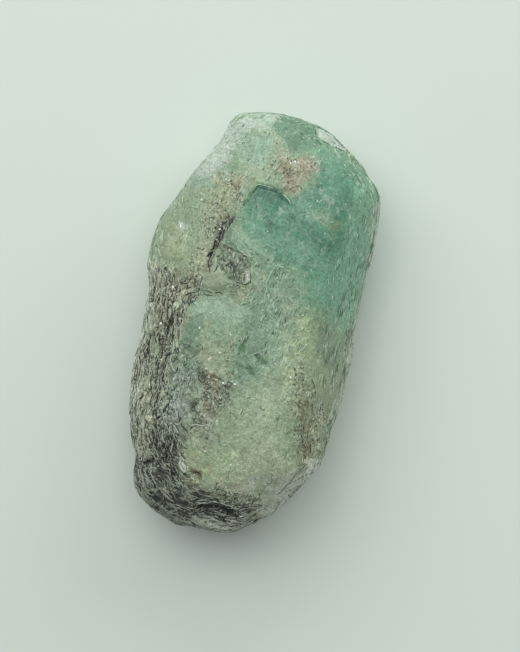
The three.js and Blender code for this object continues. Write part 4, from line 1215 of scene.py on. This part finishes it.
@dataclass(frozen=True)
class BerylAndSchist:
    """Milky beryl with a broken, rubbed surface, passing into mica schist.

    The eye gets a soft, waxy green with cloudy depth, pale hairline fibres and dark mica grit over it. Each
    pattern's sizes are in mm. Sugar, striae and leaves are finer on the real stone, and are drawn as coarse
    as they need to show.
    """

    ior: float = 1.58
    roughness: float = 0.46
    scatter: float = 0.7
    bump: float = 0.07
    clouds: Sizes = (2.4, 2.4, 2.4)
    sugar: Sizes = (0.12, 0.12, 0.12)
    faces: tuple[float, ...] = (1.6, 0.7)
    steps: tuple[float, ...] = (1.2, 0.6)
    striae: Sizes = (0.12, 2.2, 0.3)
    striae_lean: float = 8.0
    books: Sizes = (0.5, 2.4, 0.9)
    leaves: Sizes = (0.13, 0.5, 0.3)
    partings: tuple[tuple[Sizes, float], ...] = (((1.0, 4.0, 1.4), 0.035), ((0.6, 1.6, 0.9), 0.025))
    grit: Sizes = (0.2, 0.2, 0.2)
    fibres: Sizes = (0.13, 1.3, 0.4)
    fibres_lean: float = 14.0

    def build(self) -> bpy.types.Material:
        """Makes the material.

        Returns:
            The material, which reads the colours and textures kept with the mesh.
        """
        material, tree = begin("milky beryl, broken and worn, with mica schist")
        paint = Paint(tree, add(tree, "ShaderNodeAttribute", attribute_name="tint").outputs["Color"])
        place = add(tree, "ShaderNodeTexCoord").outputs["Object"]
        mm = paint.vectors("SCALE", {0: place, "Scale": 1 / MM})
        wear = {name: paint.stored(name) for name in (*vars(Skin.MILKY.value), "relief")}
        sugar = self.cloud(paint, mm)
        self.break_faces(paint, mm, wear["facets"])
        steps = self.step(paint, mm, wear["facets"])
        striae = self.striate(paint, mm, wear["striae"])
        leaves = self.foliate(paint, wear["foliation"])
        grit = self.sprinkle(paint, mm, wear["grain"])
        self.thread(paint, mm, wear["fibres"])
        self.rub(paint, wear["relief"])
        height = 0.0
        for pattern, share in (
            (striae, wear["striae"]),
            (leaves, wear["foliation"]),
            (grit, wear["grain"]),
            (sugar, 0.3),
            (steps, 0.7),
        ):
            height = paint.maths("MULTIPLY_ADD", pattern, share, height)
        bump = add(tree, "ShaderNodeBump", {"Height": height, "Strength": 0.8, "Distance": self.bump * MM})
        close(tree, {
            "Base Color": paint.colour,
            "Roughness": paint.maths("MULTIPLY_ADD", wear["grain"], 0.14, self.roughness),
            "IOR": self.ior,
            "Subsurface Weight": paint.maths("MULTIPLY_ADD", wear["foliation"], -0.18, 0.18),
            "Subsurface Radius": (0.9, 1.2, 1.0),
            "Subsurface Scale": self.scatter * MM,
            "Normal": bump.outputs[0],
        })
        return material

    def cloud(self, paint: Paint, mm: Output) -> Output:
        """Clouds the beryl with a mottling, and a finer one like damp sugar.

        Args:
            paint: the colour so far.
            mm: coordinates in mm.

        Returns:
            The finer mottling.
        """
        paint.grade(paint.noise(paint.bent(mm, CLOUD_BEND), self.clouds, 4.0), 0.75, 1.25)
        sugar, _ = paint.cells(mm, self.sugar)
        paint.grade(sugar, 0.72, 1.34)
        return sugar

    def break_faces(self, paint: Paint, mm: Output, share: Output) -> None:
        """Paints fracture faces each a little darker or paler, as painted shade and light for their tilts,
        some with a white edge.

        Args:
            paint: the colour so far.
            mm: coordinates in mm.
            share: where they are, from 0 to 1.
        """
        for size in self.faces:
            face, edge = paint.cells(mm, (size, 1.3 * size, size))
            # painted shade and light: each face's own brightness stands for its tilt
            paint.grade(face, 0.95, 1.05, share)
            some = paint.ramp(paint.noise(mm, (1.3 * size,) * 3, 2.0), 0.50, 0.62)
            line = paint.maths("MULTIPLY", paint.ramp(edge, 0.08, 0.02), some)
            paint.cover(Pigment.PEARL, paint.maths("MULTIPLY", line, share), 0.4)

    def step(self, paint: Paint, mm: Output, share: Output) -> Output:
        """Broken steps that wind over the beryl, for its relief only.

        Args:
            paint: the tree to draw in.
            mm: coordinates in mm.
            share: where they are, from 0 to 1.

        Returns:
            Their height.
        """
        winding = paint.bent(mm, CLOUD_BEND)
        levels = [paint.ramp(paint.noise(winding, (size,) * 3, 1.0), 0.485, 0.515) for size in self.steps]
        return paint.maths("MULTIPLY", paint.maths("ADD", *levels), share)

    def striate(self, paint: Paint, mm: Output, share: Output) -> Output:
        """Draws the growth striae of the prism face, along the crystal and a little askew.

        Args:
            paint: the colour so far.
            mm: coordinates in mm.
            share: where they are, from 0 to 1.

        Returns:
            The striae.
        """
        striae, _ = paint.cells(paint.turned(mm, self.striae_lean), self.striae)
        paint.grade(striae, 0.87, 1.14, share)
        return striae

    def foliate(self, paint: Paint, share: Output) -> Output:
        """Draws the schist's mica plates, seen edge on, and the dark partings between them.

        Args:
            paint: the colour so far.
            share: where they are, from 0 to 1.

        Returns:
            The single leaves.
        """
        layers = paint.stored("grainline", "Vector")
        book, _ = paint.cells(layers, self.books)
        paint.grade(book, 0.75, 1.25, share)
        leaf, _ = paint.cells(layers, self.leaves)
        paint.grade(leaf, 0.35, 1.75, share)
        for sizes, width in self.partings:
            away = paint.maths("ABSOLUTE", paint.maths("SUBTRACT", paint.noise(layers, sizes, 3.0), 0.5))
            parting = paint.maths("MULTIPLY", paint.ramp(away, width, 0.0), share)
            paint.cover(Pigment.BLACK_MICA, parting, 0.8)
        return leaf

    def sprinkle(self, paint: Paint, mm: Output, share: Output) -> Output:
        """Sprinkles grit, light and dark, with the odd black or white grain.

        Args:
            paint: the colour so far.
            mm: coordinates in mm.
            share: where it is, from 0 to 1.

        Returns:
            The grit.
        """
        grit, _ = paint.cells(mm, self.grit)
        paint.grade(grit, 0.35, 1.75, share)
        paint.cover(Pigment.BLACK_MICA, paint.ramp(grit, 0.07, 0.04, share), 0.7)
        paint.cover(Pigment.PEARL, paint.ramp(grit, 0.95, 0.97, share), 0.8)
        return grit

    def thread(self, paint: Paint, mm: Output, share: Output) -> None:
        """Draws pale fibres, which lean over to the head's right.

        Args:
            paint: the colour so far.
            mm: coordinates in mm.
            share: where they are, from 0 to 1.
        """
        fibre = paint.noise(paint.turned(mm, self.fibres_lean), self.fibres, 1.0)
        paint.cover(Pigment.PEARL, paint.ramp(fibre, 0.60, 0.68, share), 0.30)

    @staticmethod
    def rub(paint: Paint, relief: Output) -> None:
        """Paints shade into the hollows and makes the ridges paler, by the relief in mm."""
        # painted shade: darker where the relief sinks; then paler where it rises
        paint.cover(Pigment.DARK_SCHIST, paint.ramp(relief, -0.02, -0.18), 0.3)
        paint.cover(Pigment.PEARL, paint.ramp(relief, 0.03, 0.18), 0.12)


@dataclass(frozen=True)
class Muscovite:
    """Cleaved white mica: smooth plates with a pearly, silver shine."""

    pigment: Pigment
    roughness: float = 0.3
    ior: float = 1.6

    def build(self) -> bpy.types.Material:
        """Makes the material.

        Returns:
            The material.
        """
        material, tree = begin(f"{self.pigment.name.lower()} muscovite, freshly cleaved")
        colour = (*linear(self.pigment.value), 1.0)
        close(tree, {"Base Color": colour, "Roughness": self.roughness, "IOR": self.ior})
        return material


@dataclass(frozen=True)
class FreshBreak:
    """Freshly broken edges and open cracks, and lines of painted shade and highlight, in the colours kept
    with the mesh: dry, matt and crisp.
    """

    roughness: float = 0.55
    ior: float = 1.58

    def build(self) -> bpy.types.Material:
        """Makes the material.

        Returns:
            The material, which reads the colours kept with the mesh.
        """
        material, tree = begin("beryl and mica, freshly broken edges")
        tint = add(tree, "ShaderNodeAttribute", attribute_name="tint").outputs["Color"]
        close(tree, {"Base Color": tint, "Roughness": self.roughness, "IOR": self.ior})
        return material


@dataclass(frozen=True)
class MattCard:
    """Matt coated card, smooth pressed: an even, pale, slightly green white."""

    colour: str = "D8E4DA"
    roughness: float = 0.7
    ior: float = 1.45

    def build(self) -> bpy.types.Material:
        """Makes the material.

        Returns:
            The material.
        """
        material, tree = begin("matt card, smooth pressed")
        close(tree, {"Base Color": (*linear(self.colour), 1.0), "Roughness": self.roughness, "IOR": self.ior})
        return material


@dataclass
class MicaFlakes:
    """Loose-edged mica plates that lie on the schist, joined in one mesh.

    sizes are the smallest and largest radius, slimness is a plate's width against its length, and taper its
    top against its foot. tilt is how far a plate leans off the ground, lowest is the height below which there
    are none, and clear lifts the bright ones above the hairlines. Lengths are in mm.
    """

    ground: Ground
    finish: Muscovite
    bright_finish: Muscovite
    count: int = 260
    seed: int = 7
    sizes: tuple[float, float] = (0.10, 0.26)
    slimness: float = 0.6
    taper: float = 0.85
    tilt: float = 0.3
    thickness: float = 0.03
    lowest: float = 2.0
    clear: float = 0.05

    def build(self) -> bpy.types.Object:
        """Scatters the plates by how much mica the ground holds, then adds the bright ones.

        Returns:
            The piece.
        """
        dice = random.Random(self.seed)
        worn = self.ground.worn()
        weights = self.ground.textures["mica"] ** 2 * (worn[:, 2] > self.lowest)
        picks = dice.choices(range(len(weights)), weights=weights.tolist(), k=self.count)
        shape = bmesh.new()
        for index in picks:
            lean = Vector([dice.gauss(0.0, self.tilt) for _ in range(3)])
            facing = Vector(self.ground.normals[index]) + lean
            size, turn = dice.uniform(*self.sizes), dice.uniform(0.0, math.tau)
            self.plate(shape, Vector(worn[index]), facing, size, turn)
        first_bright = len(shape.faces)
        facing = Vector(GLINT_FACING)
        for x, y, size in GLINTS:
            index = int(np.argmin(np.hypot(worn[:, 0] - x, worn[:, 1] - y) - UPPER_FIRST * worn[:, 2]))
            place = Vector(worn[index]) + facing * self.clear
            self.plate(shape, place, facing, size, dice.uniform(0.0, math.tau))
        mesh = bpy.data.meshes.new("mica_flakes")
        shape.to_mesh(mesh)
        shape.free()
        mesh.materials.append(self.finish.build())
        mesh.materials.append(self.bright_finish.build())
        for face in mesh.polygons:
            face.material_index = int(face.index >= first_bright)
        piece = placed("mica_flakes", mesh)
        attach(piece, "root")
        log.info("mica_flakes: %d plates", self.count + len(GLINTS))
        return piece

    def plate(
        self, shape: bmesh.types.BMesh, place: Vector, facing: Vector, size: float, turn: float
    ) -> None:
        """Adds one six-sided plate, a little raised.

        Args:
            shape: where it goes.
            place: the ground under it, in mm.
            facing: the way it looks.
            size: its radius, in mm.
            turn: how far it is turned in its own plane.
        """
        lifted = place + facing.normalized() * self.thickness
        where = (
            Matrix.Translation(lifted * MM)
            @ facing.to_track_quat("Z", "Y").to_matrix().to_4x4()
            @ Matrix.Rotation(turn, 4, "Z")
            @ Matrix.Diagonal((1.0, self.slimness, 1.0, 1.0))
        )
        bmesh.ops.create_cone(
            shape, cap_ends=True, segments=6, radius1=size * MM, radius2=self.taper * size * MM,
            depth=self.thickness * MM, matrix=where,
        )


@dataclass(frozen=True)
class Spot:
    """One step of a hairline on the stone: its place in mm, the way the stone faces there, and its colour."""

    place: Vector
    normal: Vector
    colour: np.ndarray


Strip = tuple[list[Spot], Trace, float]


@dataclass
class Hairlines:
    """Cracks, chipped edges, leaf edges and fibres, with some lines of painted shade and one of painted
    highlight: narrow strips on the stone, roofed along the middle.

    step is the length of a drawn line's steps, sunk how far a strip's edges lie below the ground, and lowest
    the height below which none are strewn, in mm. The strewn ones gather where a noise passes from the first
    to the second of clusters. spread is the narrowest and widest of them, against their kind's own width.
    """

    name: str
    stone: bpy.types.Object
    ground: Ground
    finish: FreshBreak
    lines: tuple[Line, ...]
    strewn: tuple[Strewn, ...]
    seed: int = 11
    step: float = 0.15
    sunk: float = 0.02
    lowest: float = 1.5
    clusters: tuple[float, float] = (-0.2, 0.5)
    spread: tuple[float, float] = (0.6, 1.7)
    surface: BVHTree = field(init=False)

    def __post_init__(self) -> None:
        """Readies the stone's surface, in mm, for finding places on it."""
        skin = bmesh.new()
        skin.from_mesh(self.stone.data)
        skin.transform(Matrix.Scale(1 / MM, 4))
        self.surface = BVHTree.FromBMesh(skin)
        skin.free()

    def build(self) -> bpy.types.Object:
        """Draws every line of the tables, then strews the short ones.

        Returns:
            The piece.
        """
        strips = [(self.drawn(line), line.trace, line.width) for line in self.lines]
        dice = random.Random(self.seed)
        for strewn in self.strewn:
            strips += self.strew(strewn, dice)
        mesh = bpy.data.meshes.new(self.name)
        self.weave(mesh, [strip for strip in strips if len(strip[0]) > 1])
        mesh.materials.append(self.finish.build())
        piece = placed(self.name, mesh)
        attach(piece, "root")
        log.info("%s: %d faces", self.name, len(mesh.polygons))
        return piece

    def spot(self, hit: tuple) -> Spot:
        """Turns what the surface search found into a spot."""
        corner = self.stone.data.polygons[hit[2]].vertices[0]
        return Spot(hit[0], hit[1], self.ground.colours[corner])

    def drawn(self, line: Line) -> list[Spot]:
        """Follows one line of the tables over the stone, a little unsteadily.

        Args:
            line: the line.

        Returns:
            Its spots, a step apart.
        """
        spots = []
        for start, end in zip(line.path, line.path[1:]):
            a, b = Vector((*start, 0.0)), Vector((*end, 0.0))
            count = max(1, round((b - a).length / self.step))
            for index in range(count + (end == line.path[-1])):
                place = a.lerp(b, index / count)
                place += UNSTEADY * noise.noise_vector(place * UNSTEADY_PACE)
                hit = self.surface.ray_cast(Vector((place.x, place.y, ABOVE_STONE)), Vector((0.0, 0.0, -1.0)))
                spots += [self.spot(hit)] if hit[0] is not None else []
        return spots

    def strew(self, strewn: Strewn, dice: random.Random) -> list[Strip]:
        """Strews the lines of one kind over the skins that have them.

        Args:
            strewn: the kind.
            dice: where the chances come from.

        Returns:
            For each line its spots, what it is, and its width in mm.
        """
        strips = []
        weights = self.ground.textures[strewn.skin] ** 2 * (self.ground.places[:, 2] > self.lowest)
        weights *= smooth_step(*self.clusters, self.ground.waves(CLUSTER_WIDTH, 5))
        picks = dice.choices(range(len(weights)), weights=weights.tolist(), k=strewn.count)
        for index in picks:
            spots = [self.spot(self.surface.find_nearest(Vector(self.ground.places[index])))]
            turn, curl = dice.gauss(0.0, strewn.stray), dice.gauss(0.0, strewn.bend)
            stride = dice.uniform(*strewn.lengths) / strewn.steps
            for _ in range(strewn.steps):
                way = self.heading(strewn.skin, spots[-1], turn)
                spots.append(self.spot(self.surface.find_nearest(spots[-1].place + way * stride)))
                turn += curl
            strips.append((spots, strewn.trace, strewn.width * dice.uniform(*self.spread)))
        return strips

    @staticmethod
    def heading(skin: str, spot: Spot, turn: float) -> Vector:
        """Works out which way a strewn line goes on, by the mica layers, the fibres or the striae.

        Args:
            skin: the texture it belongs to.
            spot: where it is.
            turn: how far it turns off the texture's own way, in radians.

        Returns:
            The way, along the surface and one long.
        """
        way = Vector((0.0, 1.0, 0.0))
        if skin == "foliation":
            way = Vector((-min(spot.place.y - CORE[1], 0.0), spot.place.x - CORE[0], 0.0))
            turn += CRUMPLE * noise.noise(spot.place / CRUMPLE_WIDTH)
        way.rotate(Quaternion((0.0, 0.0, 1.0), turn + LEANS.get(skin, 0.0)))
        return (way - spot.normal * way.dot(spot.normal)).normalized()

    def weave(self, mesh: bpy.types.Mesh, strips: list[Strip]) -> None:
        """Fills mesh with all the strips, cut from one long grid.

        Args:
            mesh: where they go.
            strips: for each its spots, what it is, and its width in mm.
        """
        shape = bmesh.new()
        layer = shape.verts.layers.float_color.new("tint")
        rows = sum(len(spots) for spots, _, _ in strips)
        corners = bmesh.ops.create_grid(shape, x_segments=2, y_segments=rows - 1, size=1.0)["verts"]
        corners.sort(key=lambda corner: corner.co.y)
        threes = [corners[first : first + 3] for first in range(0, 3 * rows, 3)]
        rungs = [sorted(three, key=lambda corner: corner.co.x) for three in threes]
        joins = []
        row = 0
        for strip in strips:
            if row:
                joins += [face for face in rungs[row][1].link_faces if rungs[row - 1][1] in face.verts]
            count = len(strip[0])
            self.lay(rungs[row : row + count], layer, *strip)
            row += count
        bmesh.ops.delete(shape, geom=joins, context="FACES")
        shape.to_mesh(mesh)
        shape.free()

    def lay(self, rungs: list, layer: object, spots: list[Spot], trace: Trace, width: float) -> None:
        """Moves the rungs of one strip onto the stone: pointed ends, the middle raised and the edges sunk.

        Args:
            rungs: three corners for each spot.
            layer: where their colour goes.
            spots: the steps of its way.
            trace: what it is.
            width: its full width, in mm.
        """
        hex_colour, share, rise = trace.value
        own = np.array(linear(hex_colour))
        last = len(spots) - 1
        for row, (spot, rung) in enumerate(zip(spots, rungs)):
            ahead = spots[min(row + 1, last)].place - spots[max(row - 1, 0)].place
            side = ahead.cross(spot.normal).normalized()
            swelling = SWELLING * noise.noise(spot.place * THICK_AND_THIN_PACE)
            half = width * (POINTED if row in (0, last) else BROAD + swelling)
            colour = (*mixed(spot.colour, own, share), 1.0)
            for offset, corner in zip((-half, 0.0, half), rung):
                lift = -self.sunk if offset else rise
                corner.co = (spot.place + side * offset + spot.normal * lift) * MM
                corner.co.z = max(corner.co.z, 0.0)
                corner[layer] = colour


@dataclass(frozen=True)
class Softbox:
    """One large round lamp: where it hangs, seen from the stone, and its power in watts.

    bearing is clockwise from the top of the view and rise is above the floor, both in degrees.
    """

    bearing: float
    rise: float
    power: float


@dataclass
class Studio:
    """A pale floor, a bank of big soft lamps beyond the stone's head, a weak even sky, and the camera above.

    The lamps' size and distance, and half the floor's width, are in metres. The camera's lens, its sensor,
    its distance from the stone's middle height and what it aims at are in mm, and its roll in degrees.
    """

    floor_finish: MattCard
    floor_half: float = 1.5
    sky_strength: float = 0.216
    lamps: tuple[Softbox, ...] = (
        Softbox(0.0, 22.0, 1.15),
        Softbox(45.0, 22.0, 0.98),
        Softbox(-45.0, 48.0, 0.95),
        Softbox(0.0, 75.0, 0.94),
    )
    lamp_size: float = 0.45
    lamp_distance: float = 0.55
    lens: float = 135.0
    sensor: float = 36.0
    distance: float = 242.66
    aim: Point = (1.36, -0.06)
    aim_height: float = 6.8
    roll: float = 13.0

    def build(self) -> None:
        """Makes the floor, the lights and the camera."""
        self.lay_floor()
        self.set_sky()
        for lamp in self.lamps:
            self.hang(lamp)
        self.place_camera()

    def lay_floor(self) -> None:
        """Lays a wide board under the stone."""
        shape = bmesh.new()
        bmesh.ops.create_grid(shape, x_segments=1, y_segments=1, size=self.floor_half)
        mesh = bpy.data.meshes.new("floor")
        shape.to_mesh(mesh)
        shape.free()
        mesh.materials.append(self.floor_finish.build())
        floor = placed("floor", mesh)
        log.info("floor")

    def set_sky(self) -> None:
        """Sets a weak, even, white sky, and no film curve over the picture."""
        world = bpy.data.worlds.new("sky")
        bpy.context.scene.world = world
        world.use_nodes = True
        back = world.node_tree.nodes["Background"]
        back.inputs["Color"].default_value = (1.0, 1.0, 1.0, 1.0)
        back.inputs["Strength"].default_value = self.sky_strength
        bpy.context.scene.view_settings.view_transform = "Standard"

    def hang(self, lamp: Softbox) -> None:
        """Hangs one lamp, facing the stone's middle.

        Args:
            lamp: the lamp.
        """
        data = bpy.data.lights.new("softbox", "AREA")
        data.shape = "DISK"
        data.size = self.lamp_size
        data.energy = lamp.power
        turn, rise = math.radians(self.roll - lamp.bearing), math.radians(lamp.rise)
        away = Vector((-math.sin(turn) * math.cos(rise), math.cos(turn) * math.cos(rise), math.sin(rise)))
        middle = Vector((0.0, 0.0, self.aim_height * MM))
        facing = away.to_track_quat("Z", "Y").to_matrix().to_4x4()
        softbox = placed("softbox", data)
        softbox.matrix_world = Matrix.Translation(middle + away * self.lamp_distance) @ facing
        log.info("softbox at %.0f degrees, %.0f up", lamp.bearing, lamp.rise)

    def place_camera(self) -> None:
        """Sets the camera above the stone, looking straight down."""
        data = bpy.data.cameras.new("camera")
        data.lens = self.lens
        data.sensor_width = self.sensor
        data.clip_start = NEAREST_SEEN
        height = (self.aim_height + self.distance) * MM
        where = Matrix.Translation((self.aim[0] * MM, self.aim[1] * MM, height))
        camera = placed("camera", data)
        camera.matrix_world = where @ Matrix.Rotation(math.radians(self.roll), 4, "Z")
        bpy.context.scene.camera = camera
        log.info("camera")


def main() -> None:
    """Builds the scene."""
    logging.basicConfig(level=logging.INFO, format="%(message)s")
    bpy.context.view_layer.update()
    stone, ground = Crystal(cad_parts["emerald_crystal"], BerylAndSchist()).build()
    broken = FreshBreak()
    Hairlines("hairlines", stone, ground, broken, LINES, STREWN).build()
    Hairlines("mica_leaves", stone, ground, broken, (), LEAVES, seed=5, clusters=(-0.35, 0.45)).build()
    # the bright plates' near-white colour is in part a painted highlight
    MicaFlakes(ground, Muscovite(Pigment.GREY_SCHIST, 0.35), Muscovite(Pigment.WHITE_MICA)).build()
    Studio(MattCard()).build()


if __name__ == "__main__":
    main()
